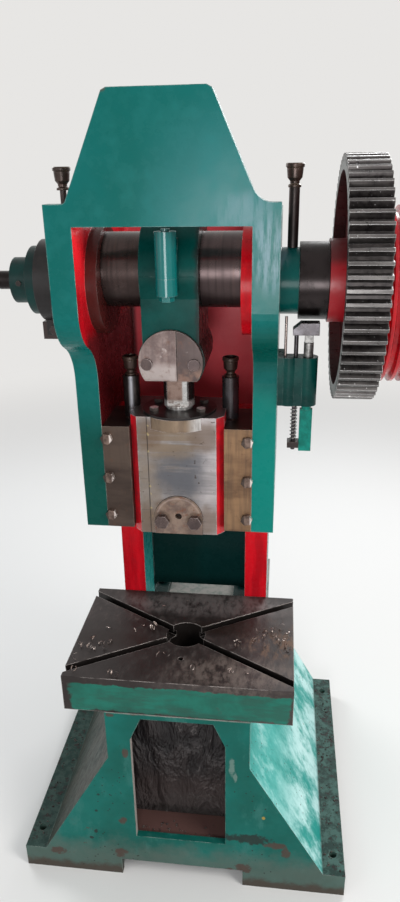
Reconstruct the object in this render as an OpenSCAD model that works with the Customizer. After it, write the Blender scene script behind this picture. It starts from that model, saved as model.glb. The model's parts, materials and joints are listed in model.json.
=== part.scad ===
// Mechanical stamping press: a C-frame eccentric press with gear drive, pin clutch and band brake.
// X runs to the right, Y to the back, Z up. The origin is the centre of the foot bolts, on the floor.

/* [Pedestal] */
// Width of the stand across its foot flanges
foot_w = 776; // [740:2:820]
// Depth of the stand from front to back
stand_d = 676; // [660:2:720]
// Height of the foot rails
foot_h = 63; // [55:1:75]
// Width of each foot flange outside the flared wall
flange_w = 52; // [46:1:60]
// Height of the deck that carries frame and bolster
deck_z = 505; // [495:1:520]
// Width of the stand where its walls are upright
waist_w = 320; // [306:2:340]
// Height at which the walls begin to flare
flare_z = 375; // [340:5:400]
// Wall thickness of the stand
stand_wall = 14; // [10:1:18]
// Thickness of the deck plate
deck_t = 12; // [10:1:18]
// Width of the deck plate behind the bolster
deck_w = 372; // [368:2:380]
// Width of the front window
window_w = 212; // [180:2:220]
// Height of the window sill
window_sill = 133; // [120:1:150]
// Width of the cut corners at the window's top
window_cut_w = 26; // [10:1:40]
// Height of the cut corners at the window's top
window_cut_h = 61; // [30:1:80]
// Width of the notch between the two front feet
notch_w = 294; // [260:2:320]
// Height of the notch between the two front feet
notch_h = 50; // [30:1:52]
// Depth of the shelf behind the window sill
shelf_d = 66; // [40:1:90]
// Radius of the foot bolt holes
foot_hole_r = 9; // [7:0.5:11]
// Distance of the foot bolts across the stand
foot_bolt_x = 724; // [716:2:728]
// Distance of the foot bolts along the stand
foot_bolt_y = 566; // [500:2:600]

/* [Bolster] */
// Width of the bolster plate
bolster_w = 500; // [460:2:540]
// Depth of the bolster plate
bolster_d = 337; // [325:1:338]
// Thickness of the bolster plate
bolster_t = 90; // [75:1:110]
// Radius of the knock-out hole in the bolster
bolster_hole_r = 45; // [30:1:46]
// Distance of the T-slots' ends from the middle, along the bolster's sides
slot_end = 145; // [120:1:145]
// Width of the T-slots at the surface
slot_w = 18; // [14:1:22]
// Width of the T-slots at their foot
slot_foot_w = 32; // [26:1:38]
// Depth of the narrow part of the T-slots
slot_neck_h = 18; // [14:1:24]
// Height of the wide part of the T-slots
slot_foot_h = 14; // [10:1:18]
// Radius of the dowel hole in front of the knock-out hole
dowel_r = 6; // [4:0.5:8]

/* [Frame] */
// Distance of the crank and slide axis in front of the origin
slide_back = 167; // [160:1:172]
// Height of the crankshaft
crank_z = 1408; // [1395:1:1412]
// Gap between the head's cheeks
head_gap = 300; // [300:1:304]
// Thickness of the cheeks
cheek_t = 46; // [40:1:48]
// Height of the head's lower edge
head_z = 905; // [895:1:906]
// Height of the shoulders
shoulder_z = 1552; // [1548:1:1570]
// Height of the hood's top
top_z = 1721; // [1700:1:1740]
// Half width of the hood at its top
hood_top_hw = 86; // [76:1:96]
// Half width of the hood at the shoulders
hood_base_hw = 159; // [154:1:164]
// Height of the hood's lower edge over the head's opening
hood_z = 1516; // [1515:1:1518]
// Thickness of the hood plate
hood_t = 30; // [20:1:40]
// Height of the cheeks behind the hood plate
cheek_top = 1525; // [1520:1:1530]
// Distance from the slide axis to the head's front
head_front = 153; // [150:1:160]
// Distance from the slide axis to the face of the cheeks beside the gibs
throat_face = 55; // [53:1:57]
// Distance from the slide axis to the throat's back, the depth of the throat
throat_back = 170; // [169:1:176]
// Gap between the columns behind the throat
column_gap = 254; // [250:2:260]
// Thickness of the columns
column_t = 55; // [45:1:58]
// Distance from the slide axis to the web's front
web_front = 283; // [280:1:290]
// Thickness of the web
web_t = 12; // [8:1:16]
// Height of the web's lower edge
web_z = 549; // [540:1:570]
// Depth of the frame behind the web at its foot
spine_d = 82; // [60:2:100]
// Radius of the bearing bosses inside the head
boss_r = 100; // [90:1:104]
// Length of the bearing bosses inside the head
boss_l = 22; // [21:0.5:22]
// Radius of the bearing collars outside the head
collar_r = 60; // [50:1:62]
// Length of the right bearing collar
collar_right_l = 34; // [28:1:34]
// Length of the left bearing collar
collar_left_l = 17; // [12:1:17]

/* [Crank and drive] */
// Radius of the crankshaft's journals
journal_r = 30; // [26:0.5:34]
// Wall of the bearing bushes
bush_wall = 12; // [8:0.5:14]
// Running clearance of shafts in their bushes, on the radius
run_gap = 0.05; // [0.02:0.01:0.08]
// Throw of the crank, half the stroke
throw = 20; // [15:1:22]
// Radius of the crank's round webs
web_r = 69; // [66:1:74]
// Radius of the crank pin
pin_r = 48; // [42:1:50]
// Half width of the connecting rod's big end
rod_hw = 52.7; // [48:0.5:55]
// Module of the gears
gear_m = 6.5; // [6.5:0.1:6.5]
// Teeth of the bull gear
gear_teeth = 65; // [65:1:65]
// Teeth of the pinion
pinion_teeth = 15; // [15:1:15]
// Face width of the bull gear
gear_w = 70; // [60:1:74]
// Distance of the bull gear's left face from the middle
gear_x = 300; // [298:1:304]
// Thickness of the gear's web
gear_web = 24; // [18:1:30]
// Thickness of the gear's rim under the teeth
gear_rim = 13; // [10:1:20]
// Radius of the gear's hub
gear_hub_r = 75; // [60:1:80]
// Distance of the clutch drum's right face from the middle
clutch_end = 283; // [280:1:284]
// Radius of the clutch drum
clutch_r = 70; // [62:1:72]
// Drop of the back shaft below the crankshaft
back_drop = 68; // [50:1:80]
// Radius of the back shaft
back_r = 25; // [22:0.5:27]
// Radius of the flywheel
flywheel_r = 187; // [170:1:200]
// Width of the flywheel's rim
flywheel_w = 80; // [60:1:90]
// Distance of the flywheel's left face from the middle
flywheel_x = 390; // [386:1:396]
// Radius of the back shaft's bearing bosses
back_boss_r = 42; // [38:1:44]

/* [Brake] */
// Radius of the brake drum
drum_r = 64; // [58:1:66]
// Width of the brake drum
drum_w = 58; // [54:1:72]
// Thickness of the brake lining
lining_t = 6; // [4:0.5:8]
// Thickness of the brake band
band_t = 6; // [4:0.5:8]
// Width of the brake band
band_w = 34; // [28:1:48]
// Radius of the drum's hub
drum_hub_r = 43; // [36:1:48]
// Length of the drum's hub
drum_hub_l = 37; // [24:1:44]
// Radius of the crankshaft's left end
stub_r = 17.5; // [15:0.5:21]

/* [Slide] */
// Half width of the slide's front face
ram_front_hw = 79; // [74:1:82]
// Half width of the slide at its flanks
ram_hw = 94.2; // [90:0.2:95]
// Half width of the slide across its V guides
ram_vee_hw = 112; // [106:1:116]
// Height of the slide's lower face at the top of its stroke
ram_z = 894; // [890:1:898]
// Height of the slide's body
ram_h = 258; // [250:1:262]
// Radius of the slide's round lip
ram_collar_r = 75; // [72:1:78]
// Height of the slide's round lip, down from its top
ram_lip_h = 25; // [18:1:32]
// Radius of the ball retaining flange
cap_r = 75; // [70:1:80]
// Thickness of the ball retaining flange
cap_t = 5; // [4:0.5:10]
// Radius of the screw's ball
ball_r = 38; // [35:0.5:38]
// Radius of the ball screw's thread
screw_r = 31; // [28:0.5:31]
// Radius of the neck over the ball
neck_r = 26; // [22:0.5:27]
// Radius of the tool shank's bore
shank_r = 19; // [12.5:0.5:20]
// Depth of the tool shank's bore
shank_l = 65; // [50:1:70]
// Radius of the tool clamp plate
tool_clamp_r = 50; // [46:1:52]
// Height of the tool clamp plate
tool_clamp_h = 87; // [80:1:90]
// Width over flats of the tool clamp's bolts
tool_bolt_af = 27; // [22:1:28]
// Clearance of the slide in its guides
slide_gap = 0.3; // [0.2:0.05:0.4]

/* [Guides] */
// Height of the gibs
gib_h = 225; // [215:1:228]
// Depth of the gibs from front to back
gib_d = 130; // [120:1:132]
// Width over flats of the gib bolts
gib_bolt_af = 21; // [17:1:24]
// Height of the gib bolts' heads
gib_bolt_head = 9; // [7:1:12]
// Radius of the oil posts over the gibs
post_r = 17; // [14:0.5:17]
// Height of the oil posts
post_h = 86; // [70:1:110]
// Radius of the oil cups
cup_r = 16.5; // [14:0.5:18]
// Height of the oil cups
cup_h = 40; // [34:1:44]

/* [Connecting rod] */
// Radius of the connecting rod's big end
big_end_r = 96; // [90:1:97]
// Radius of the rod's lower body
rod_body_r = 62; // [58:1:64]
// Radius of the screw clamp plate
clamp_r = 60; // [56:1:62]
// Height of the rod's lower face
rod_z = 1238; // [1236:1:1250]
// Radius of the bolt bosses at the big end
bolt_boss_r = 19; // [16:0.5:20]

/* [Trip gear] */
// Travel of the trip slide
trip_travel = 25; // [15:1:28]
// Height of the trip bracket's lower face
bracket_z = 1184; // [1180:1:1195]
// Height of the trip bracket
bracket_h = 93; // [80:1:95]
// Radius of the bracket's round bosses
bracket_r = 18; // [16:0.5:19]

/* [Hidden] */
$fn = 96;

teal = "#1c7563";
dark_teal = "#154a40";
red = "#b4141c";
dark_steel = "#3b2f2b";
brown_steel = "#6d5b4d";
bright_steel = "#a9a39b";
bronze = "#a57c3c";

// Places that several pieces share
slide_y = -slide_back;
cheek_in = head_gap / 2;
cheek_out = cheek_in + cheek_t;
boss_in = cheek_in - boss_l;
front_y = -stand_d / 2;
back_y = stand_d / 2;
column_in = column_gap / 2;
column_out = column_in + column_t;
throat_y = slide_y + throat_back;
web_y = slide_y + web_front;
web_back_y = web_y + web_t;
head_front_y = slide_y - head_front;
face_y = slide_y - throat_face;
gear_end = gear_x + gear_w;
gear_centres = gear_m * (gear_teeth + pinion_teeth) / 2;
back_z = crank_z - back_drop;
back_y0 = slide_y + sqrt(gear_centres * gear_centres - back_drop * back_drop);
ram_top = ram_z + ram_h;
gib_top = head_z + gib_h;
bush_r = journal_r + bush_wall;
back_bush_r = back_r + 8;
eps = 1;
face_gap = 0.3;
// Reach of cutting blocks that go past every piece
far = 2200;

// Cylinder along X between two distances, at the origin
module xcyl(x0, x1, r) {
  translate([x0, 0, 0]) rotate([0, 90, 0]) cylinder(h = x1 - x0, r = r);
}

// Cylinder along Y between two distances, at the origin
module ycyl(y0, y1, r) {
  translate([0, y1, 0]) rotate([90, 0, 0]) cylinder(h = y1 - y0, r = r);
}

// Ring along X
module xring(x0, x1, r_out, r_in) {
  difference() {
    xcyl(x0, x1, r_out);
    xcyl(x0 - eps, x1 + eps, r_in);
  }
}

// Block between two corners
module block(a, b) {
  translate(a) cube([b[0] - a[0], b[1] - a[1], b[2] - a[2]]);
}

// Side view outline, given as points of Y and Z, drawn out along X
module side_plate(x0, x1, points) {
  translate([x0, 0, 0]) rotate([90, 0, 90]) linear_extrude(x1 - x0) polygon(points);
}

// Front view outline, given as points of X and Z, drawn out along Y
module front_plate(y0, y1, points) {
  translate([0, y1, 0]) rotate([90, 0, 0]) linear_extrude(y1 - y0) polygon(points);
}

// Hexagon bolt that points down, its head's seat at the origin
module hex_bolt(shank_radius, length, flats, head_h) {
  cylinder(h = head_h, r = flats / sqrt(3), $fn = 6);
  translate([0, 0, -length]) cylinder(h = length, r = shank_radius);
}

module both_sides() {
  children();
  mirror([1, 0, 0]) children();
}

module at_crank() {
  translate([0, slide_y, crank_z]) children();
}

module at_pin() {
  translate([0, slide_y, crank_z + throw]) children();
}

module at_back_shaft() {
  translate([0, back_y0, back_z]) children();
}

// Points on an arc, in degrees
function arc(c, r, a0, a1, n) =
  [for (i = [0 : n]) let (a = a0 + (a1 - a0) * i / n) [c[0] + r * cos(a), c[1] + r * sin(a)]];

// Walls of the stand, as half widths and heights, seen from the front
flare_run = (foot_w / 2 - flange_w - waist_w / 2) / (flare_z - foot_h);
flare_x = foot_w / 2 - flange_w;
wall_x = stand_wall * sqrt(1 + flare_run * flare_run);
waist_in = waist_w / 2 - stand_wall;
flare_in_z = flare_z + (waist_w / 2 - wall_x - waist_in) / flare_run;
stand_half = [
  [waist_w / 2, deck_z], [waist_w / 2, flare_z], [flare_x, foot_h], [foot_w / 2, foot_h], [foot_w / 2, 0]
];
cavity_half = [
  [waist_in, deck_z - deck_t], [waist_in, flare_in_z], [flare_x - wall_x, foot_h], [flare_x - wall_x, -eps]
];
function mirrored(half) = concat(half, [for (i = [len(half) - 1 : -1 : 0]) [-half[i][0], half[i][1]]]);

window_top = deck_z - deck_t;
window_half = [
  [window_w / 2 - window_cut_w, window_top], [window_w / 2, window_top - window_cut_h],
  [window_w / 2, window_sill]
];
shelf_t = 12;
shelf_drop = 6;
shelf_top = window_sill - shelf_drop;
shelf_y = front_y + stand_wall + shelf_d;
knock_out_gap = 5;
frame_bolt_x = column_in - 18;
frame_bolt_ys = [throat_y + 40, web_back_y + 40];

module pedestal() color(teal) {
  sill_x = flare_x - wall_x - (window_sill - foot_h) * flare_run;
  difference() {
    union() {
      difference() {
        front_plate(front_y, back_y, mirrored(stand_half));
        front_plate(front_y + stand_wall + 2, back_y - stand_wall, mirrored(cavity_half));
      }
      block([-deck_w / 2, throat_y + 13, deck_z - deck_t], [deck_w / 2, back_y, deck_z]);
      block([-sill_x - 4, front_y + stand_wall, shelf_top - shelf_t], [sill_x + 4, shelf_y, shelf_top]);
    }
    front_plate(front_y - eps, front_y + 2 * stand_wall, mirrored(window_half));
    for (y = [front_y, back_y - 2 * stand_wall])
      block([-notch_w / 2, y - eps, -eps], [notch_w / 2, y + 2 * stand_wall + eps, notch_h]);
    for (x = [-1, 1], y = [-1, 1]) translate([x * foot_bolt_x / 2, y * foot_bolt_y / 2, -eps])
      cylinder(h = foot_h + 2 * eps, r = foot_hole_r);
    translate([0, slide_y, deck_z - deck_t - eps])
      cylinder(h = deck_t + 2 * eps, r = bolster_hole_r + knock_out_gap);
    for (x = [-1, 1], y = frame_bolt_ys)
      translate([x * frame_bolt_x, y, deck_z - 2 * deck_t]) cylinder(h = 3 * deck_t, r = frame_bolt_r);
  }
}

// Sheet between the window and the slugs that fall through the knock-out hole
guard_t = 5;
guard_gap = 2;
guard_foot = foot_h + 7;
guard_y = slide_y - bolster_hole_r - knock_out_gap - guard_gap - guard_t;

module window_guard() color(brown_steel) intersection() {
  front_plate(guard_y, guard_y + guard_t, mirrored(cavity_half));
  block([-foot_w / 2, guard_y - eps, guard_foot], [foot_w / 2, guard_y + guard_t + eps, deck_z]);
}

slot_angle = atan2(slot_end, bolster_w / 2);
slot_reach = bolster_w;
bolster_top = deck_z + bolster_t;

module t_slot() {
  translate([0, -slot_w / 2, bolster_top - slot_neck_h]) cube([slot_reach, slot_w, slot_neck_h + eps]);
  translate([0, -slot_foot_w / 2, bolster_top - slot_neck_h - slot_foot_h])
    cube([slot_reach, slot_foot_w, slot_foot_h + 0.01]);
}

dowel_d = 30;
dowel_gap = 42;

module bolster_plate() color(brown_steel) {
  difference() {
    translate([-bolster_w / 2, slide_y - bolster_d / 2, deck_z]) cube([bolster_w, bolster_d, bolster_t]);
    translate([0, slide_y, deck_z - eps]) cylinder(h = bolster_t + 2 * eps, r = bolster_hole_r);
    for (a = [slot_angle, 180 - slot_angle, 180 + slot_angle, -slot_angle])
      translate([0, slide_y, 0]) rotate([0, 0, a]) t_slot();
    translate([0, slide_y - bolster_hole_r - dowel_gap, bolster_top - dowel_d])
      cylinder(h = dowel_d + eps, r = dowel_r);
  }
}

// Curve of the head's front edge, from the gibs up and forward, as two equal arcs
curve_z0 = 1225;
curve_h = 150;
curve_y = face_y - head_front_y;
curve_a = 2 * atan2(curve_y, curve_h);
curve_r = curve_h / (2 * sin(curve_a));
throat_fillet = 30;
spine_y = web_back_y + spine_d;
rear_y = web_back_y + 22;
bend_z = [1100, 1250];

head_side = concat(
  [[throat_y, head_z], [face_y, head_z]],
  arc([face_y - curve_r, curve_z0], curve_r, 0, curve_a, 8),
  arc([head_front_y + curve_r, curve_z0 + curve_h], curve_r, 180 + curve_a, 180, 8),
  [[head_front_y, cheek_top], [rear_y, cheek_top], [rear_y, bend_z[1]]],
  [[spine_y, bend_z[0]], [spine_y, head_z]]
);
column_side = concat(
  [[throat_y, deck_z]],
  arc([throat_y - throat_fillet, head_z - throat_fillet], throat_fillet, 0, 90, 6),
  [[throat_y - throat_fillet, head_z + 20], [spine_y, head_z + 20], [spine_y, deck_z]]
);

hood_slope = (hood_base_hw - hood_top_hw) / (top_z - shoulder_z);
hood_angle = atan(hood_slope);
function hood_x(z) = hood_top_hw + hood_slope * (top_z - z);
// Right half of the hood's outline, with a concave fillet down to the shoulder
function hood_half(r) =
  let (
    z0 = shoulder_z + r * (1 - sin(hood_angle)),
    c = [hood_x(z0) + r * cos(hood_angle), shoulder_z + r]
  )
  concat(
    [[hood_top_hw - 8, top_z], [hood_top_hw, top_z - 4]],
    arc(c, r, 180 + hood_angle, 270, 6),
    [[cheek_out, shoulder_z], [cheek_out, hood_z]]
  );
function flipped(points) = [for (i = [len(points) - 1 : -1 : 0]) [-points[i][0], points[i][1]]];
hood_fillets = [8, 35];
lug_d = 32;
gib_back_y = face_y + gib_d;
foot_flange_t = 20;
foot_flange_w = 37;
back_boss_l = 44;
frame_bolt_r = 10;
frame_bolt_af = 30;
frame_bolt_head = 13;
frame_bolt_out = 18;
oil_hole_r = 3;
gib_bolt_foot = 30;
gib_bolt_pitch = 85;
gib_bolt_edge = 9;
gib_bolt_zs = [for (i = [0 : 2]) head_z + gib_bolt_foot + i * gib_bolt_pitch];
gib_bolt_x = cheek_in - gib_bolt_edge;
gib_bolt_r = 6;

module frame() color(teal) {
  difference() {
    union() {
      both_sides() {
        side_plate(cheek_in, cheek_out, head_side);
        side_plate(column_in, column_out, column_side);
        at_crank() xcyl(boss_in, cheek_in + eps, boss_r);
        block([cheek_in - 46, gib_back_y, head_z], [cheek_in + eps, gib_back_y + lug_d, gib_top]);
        at_back_shaft() xcyl(cheek_out - eps, cheek_out + back_boss_l, back_boss_r);
        translate([column_in - foot_flange_w, throat_y + 15, deck_z])
          cube([foot_flange_w + eps, spine_y - throat_y - 15, foot_flange_t]);
      }
      at_crank() {
        xcyl(cheek_out - eps, cheek_out + collar_right_l, collar_r);
        xcyl(-cheek_out - collar_left_l, -cheek_out + eps, collar_r);
      }
      block([-column_in - eps, web_y, web_z], [column_in + eps, web_back_y, cheek_top]);
      block([-cheek_in - eps, web_y, head_z], [cheek_in + eps, web_back_y, cheek_top]);
      front_plate(head_front_y, head_front_y + hood_t,
        concat(hood_half(hood_fillets[1]), flipped(hood_half(hood_fillets[0]))));
    }
    at_crank() xcyl(-far, far, bush_r);
    at_back_shaft() xcyl(-far, far, back_bush_r);
    both_sides() for (z = gib_bolt_zs)
      translate([gib_bolt_x, 0, z]) ycyl(gib_back_y - eps, gib_back_y + lug_d + eps, gib_bolt_r);
    both_sides() for (y = frame_bolt_ys)
      translate([frame_bolt_x, y, deck_z - eps]) cylinder(h = foot_flange_t + 2 * eps, r = frame_bolt_r);
    for (x = [pipe_right_x, -pipe_left_x])
      at_crank() translate([x, 0, bush_r - 2]) cylinder(h = collar_r, r = oil_hole_r);
  }
}

module frame_bolts() color(dark_steel) {
  for (x = [-1, 1], y = frame_bolt_ys)
    translate([x * frame_bolt_x, y, deck_z + foot_flange_t])
      hex_bolt(frame_bolt_r, foot_flange_t + deck_t + frame_bolt_out, frame_bolt_af, frame_bolt_head);
}

// Guides: each gib holds the slide's V from the side
module gib_section() {
  in = ram_hw + slide_gap * 2;
  vee = ram_vee_hw + slide_gap * 2;
  reach = vee - in + slide_gap / 2;
  polygon([
    [in, face_y], [cheek_in, face_y], [cheek_in, gib_back_y], [in, gib_back_y],
    [in, slide_y + reach], [vee, slide_y], [in, slide_y - reach]
  ]);
}

module gib() color(brown_steel) {
  difference() {
    translate([0, 0, head_z]) linear_extrude(gib_h) gib_section();
    for (z = gib_bolt_zs) translate([gib_bolt_x, 0, z]) ycyl(face_y - eps, gib_back_y + eps, gib_bolt_r);
    translate([post_x, post_y, gib_top - post_seat]) cylinder(h = post_seat + eps, r = post_stub_r);
  }
}
module gib_right() gib();
module gib_left() mirror([1, 0, 0]) gib();

module gib_bolts() color(brown_steel) both_sides() for (z = gib_bolt_zs)
  translate([gib_bolt_x, face_y, z]) rotate([90, 0, 0]) rotate([0, 0, 12])
    hex_bolt(gib_bolt_r, gib_d + lug_d, gib_bolt_af, gib_bolt_head);

// Oil posts stand on the gibs, with a cup screwed into each
post_x = 102;
post_back = 22;
post_y = slide_y + post_back;
post_seat = 12;
post_bore_r = 2.5;
post_stub_r = 6;
cup_stub_r = 5;
cup_stub_l = 12;

module oil_post() color(dark_steel) {
  translate([post_x, post_y, gib_top]) difference() {
    union() {
      cylinder(h = post_h, r = post_r);
      translate([0, 0, -post_seat]) cylinder(h = post_seat + eps, r = post_stub_r);
    }
    translate([0, 0, post_h - cup_stub_l]) cylinder(h = cup_stub_l + eps, r = cup_stub_r);
    translate([0, 0, -post_seat - eps]) cylinder(h = post_h, r = post_bore_r);
  }
}
module oil_post_right() oil_post();
module oil_post_left() mirror([1, 0, 0]) oil_post();

// Turned oil cup, its seat at the origin
module oil_cup() {
  neck = 0.52 * cup_r;
  rotate_extrude() polygon([
    [1.5, -cup_stub_l], [cup_stub_r, -cup_stub_l], [cup_stub_r, 0],
    [neck + 3, 0], [neck + 3, 4], [neck, 6], [neck, cup_h * 0.26],
    [cup_r * 0.8, cup_h * 0.4], [cup_r * 0.88, cup_h * 0.72], [cup_r * 0.88, cup_h * 0.8],
    [cup_r, cup_h * 0.84], [cup_r, cup_h - 1.5], [cup_r - 1.5, cup_h],
    [cup_r - 4, cup_h], [cup_r * 0.66, cup_h * 0.5], [1.5, cup_h * 0.42]
  ]);
}

module gib_oil_cups() color(dark_steel) both_sides()
  translate([post_x, post_y, gib_top + post_h]) oil_cup();

pipe_r = 9.5;
pipe_left_r = 6;
pipe_right_x = cheek_out + 20.6;
pipe_left_x = cheek_out + collar_left_l / 2 + 1;
pipe_top = shoulder_z + 18;
pipe_foot = crank_z + sqrt(collar_r * collar_r - pipe_r * pipe_r) - 0.3;

module oil_pipe(r) {
  translate([0, 0, pipe_foot]) difference() {
    cylinder(h = pipe_top - pipe_foot, r = r);
    translate([0, 0, -eps]) cylinder(h = pipe_top - pipe_foot + 2 * eps, r = min(cup_stub_r, r - 1));
  }
}

module bearing_oil_pipes() color(dark_steel) difference() {
  union() {
    translate([pipe_right_x, slide_y, 0]) oil_pipe(pipe_r);
    translate([-pipe_left_x, slide_y, 0]) oil_pipe(pipe_left_r);
  }
  at_crank() xcyl(-far, far, collar_r);
}

module bearing_oil_cups() color(dark_steel) {
  translate([pipe_right_x, slide_y, pipe_top]) oil_cup();
  translate([-pipe_left_x, slide_y, pipe_top]) oil_cup();
}

module main_bush(x0, x1) color(bronze) at_crank() xring(x0, x1, bush_r, journal_r + run_gap);
module main_bush_right() main_bush(boss_in, cheek_out + collar_right_l);
module main_bush_left() main_bush(-cheek_out - collar_left_l, -boss_in);

module back_bush(x0, x1) color(bronze) at_back_shaft() xring(x0, x1, back_bush_r, back_r + run_gap);
module back_bush_right() back_bush(cheek_in, cheek_out + back_boss_l);
module back_bush_left() back_bush(-cheek_out - back_boss_l, -cheek_in);

// Band brake on the left: lining and band stand still round the drum
drum_out = cheek_out + collar_left_l + 4 + drum_w;
drum_in = drum_out - drum_w;
band_x1 = -drum_in - 3;
band_x0 = band_x1 - band_w;
brake_x = (band_x0 + band_x1) / 2;
lining_r = drum_r + face_gap;
band_r = lining_r + lining_t;
band_out_r = band_r + band_t;
lug_gap = 22;
lug_t = 12;
lug_z = -103;
brake_bolt_z = lug_z + 12;

module brake_gap() {
  block([-far, -lug_gap / 2, -far], [0, lug_gap / 2, 0]);
}

module brake_band() color(dark_teal) at_crank() difference() {
  union() {
    xring(band_x0, band_x1, band_out_r, band_r);
    for (s = [-1, 1]) translate([0, s * (lug_gap + lug_t) / 2, 0])
      block([band_x0, -lug_t / 2, lug_z], [band_x1, lug_t / 2, -band_r - 2]);
  }
  brake_gap();
  translate([brake_x, 0, brake_bolt_z]) ycyl(-60, 60, brake_bolt_r);
}

module brake_lining() color(brown_steel) at_crank() difference() {
  xring(band_x0 + 2, band_x1 - 2, band_r, lining_r);
  brake_gap();
}

anchor_h = 34;
anchor_over = 12;
brake_bolt_r = 5;
brake_bolt_af = 17;
brake_spring_l = 24;
brake_wire_r = 1.4;

// Arm from the cheek that holds the band's two ends
module brake_anchor() color(dark_steel) at_crank() difference() {
  union() {
    block([band_x0 - anchor_over, -lug_gap / 2, lug_z - 10],
          [-cheek_out, lug_gap / 2, lug_z - 10 + anchor_h]);
    block([-cheek_out - 12, -46, lug_z - 16], [-cheek_out, 46, lug_z - 10 + anchor_h]);
  }
  translate([brake_x, 0, brake_bolt_z]) ycyl(-60, 60, brake_bolt_r);
}

module brake_bolt() color(dark_steel) at_crank() translate([brake_x, 0, brake_bolt_z]) {
  reach = lug_gap / 2 + lug_t;
  nut_t = 8;
  translate([0, -reach, 0]) rotate([90, 0, 0])
    hex_bolt(brake_bolt_r, 2 * reach + brake_spring_l + 2 * nut_t, brake_bolt_af, 7);
  translate([0, reach + brake_spring_l + nut_t, 0]) rotate([90, 0, 0])
    cylinder(h = nut_t, r = brake_bolt_af / sqrt(3), $fn = 6);
}

// Coil spring along Z, its wire swept as one closed tube
function coil_ring(mean_r, wire_r, pitch, turns, steps, i, sides) =
  let (a = 360 * turns * i / steps, z = pitch * turns * i / steps)
  [for (s = [0 : sides - 1]) let (b = 360 * s / sides)
    [(mean_r + wire_r * cos(b)) * cos(a), (mean_r + wire_r * cos(b)) * sin(a), z + wire_r * sin(b)]];

module coil(mean_r, wire_r, pitch, turns) {
  sides = 6;
  steps = ceil(turns * 14);
  points = [for (i = [0 : steps]) each coil_ring(mean_r, wire_r, pitch, turns, steps, i, sides)];
  walls = [for (i = [0 : steps - 1], s = [0 : sides - 1])
    [i * sides + s, (i + 1) * sides + s, (i + 1) * sides + (s + 1) % sides, i * sides + (s + 1) % sides]];
  ends = [[for (s = [0 : sides - 1]) s], [for (s = [sides - 1 : -1 : 0]) steps * sides + s]];
  polyhedron(points = points, faces = concat(walls, ends), convexity = 10);
}

module brake_spring() color(bright_steel) at_crank()
  translate([brake_x, lug_gap / 2 + lug_t + brake_wire_r + 0.2, brake_bolt_z]) rotate([-90, 0, 0])
    coil(8, brake_wire_r, (brake_spring_l - 2 * brake_wire_r - 0.4) / 5, 5);

// Trip gear at the right: wedge and bar slide down together in the bracket
bracket_x = [cheek_out + 21, cheek_out + 56];
bracket_y = slide_y - 48;
bracket_front = bracket_y - bracket_r + 3;
bracket_top = bracket_z + bracket_h;
bar_r = 9;
bar_w = 24;
bar_t = 10;
bar_drop = 95;
trip_rod_r = 4;
trip_rod_x = cheek_out + 33;
bracket_bolt_zs = [bracket_z + 26, bracket_z + bracket_h - 26];
bracket_bolt_y = slide_y + 18;
bracket_bolt_r = 6;
bracket_pad_t = 14;

module trip_bracket() color(teal) difference() {
  union() {
    for (x = bracket_x) translate([x, bracket_y, bracket_z]) cylinder(h = bracket_h, r = bracket_r);
    block([cheek_out, bracket_front, bracket_z], [bracket_x[1], bracket_y + bracket_r, bracket_top]);
    translate([cheek_out, bracket_front, bracket_z + 8])
      cube([bracket_pad_t, slide_y + 40 - bracket_front, bracket_h - 16]);
  }
  for (hole = [[trip_rod_x, trip_rod_r], [bracket_x[1], bar_r]])
    translate([hole[0], bracket_y, bracket_z - eps])
      cylinder(h = bracket_h + 2 * eps, r = hole[1] + run_gap);
  for (z = bracket_bolt_zs) translate([0, bracket_bolt_y, z])
    xcyl(cheek_out - eps, cheek_out + bracket_pad_t + eps, bracket_bolt_r);
}

module bracket_bolts() color(dark_steel) for (z = bracket_bolt_zs)
  translate([cheek_out + bracket_pad_t, bracket_bolt_y, z]) rotate([0, 90, 0])
    hex_bolt(bracket_bolt_r, bracket_pad_t, 19, 8);

// Wedge on top of the bar and the rod; it stands clear over the bracket by the trip's travel
head_foot_z = bracket_top + trip_travel + 0.5;
wedge_rise = 64;
wedge_top_z = bracket_top + wedge_rise;
wedge_h = 22;
wedge_hd = 14;
wedge_nose_h = 12;
wedge_slope = 40;
wedge_x = [trip_rod_x - 7, bracket_x[1] + 18];
wedge_w = wedge_x[1] - wedge_x[0];
cross_z = bracket_z - bar_drop + 8;
cross_h = 12;
cross_x1 = bracket_x[1] - bar_w / 2;

module trip_wedge() color(brown_steel) translate([0, bracket_y, 0]) {
  translate([trip_rod_x, 0, cross_z - 6])
    cylinder(h = wedge_top_z - wedge_h - cross_z + 7, r = trip_rod_r);
  difference() {
    block([wedge_x[0], -wedge_hd, wedge_top_z - wedge_h], [wedge_x[1], wedge_hd, wedge_top_z]);
    translate([wedge_x[0], -wedge_hd - eps, wedge_top_z - wedge_nose_h]) rotate([0, -wedge_slope, 0])
      cube([2 * wedge_w, 2 * (wedge_hd + eps), 2 * wedge_h]);
  }
}

module trip_bar() color(dark_teal) translate([bracket_x[1], bracket_y, 0]) {
  translate([0, 0, bracket_z - 10]) cylinder(h = head_foot_z - bracket_z + 11, r = bar_r);
  block([-8, -bar_t / 2, head_foot_z], [8, bar_t / 2, wedge_top_z - wedge_h]);
  block([-bar_w / 2, -bar_t / 2, bracket_z - bar_drop], [bar_w / 2, bar_t / 2, bracket_z - 9]);
}

// Thin rod that stands on the bracket beside the wedge
guide_rod_r = 2.6;
guide_rod_h = 74;
guide_rod_out = 13.5;
module guide_rod() color(bright_steel)
  translate([cheek_out + guide_rod_out, bracket_y, bracket_top]) cylinder(h = guide_rod_h, r = guide_rod_r);

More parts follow.
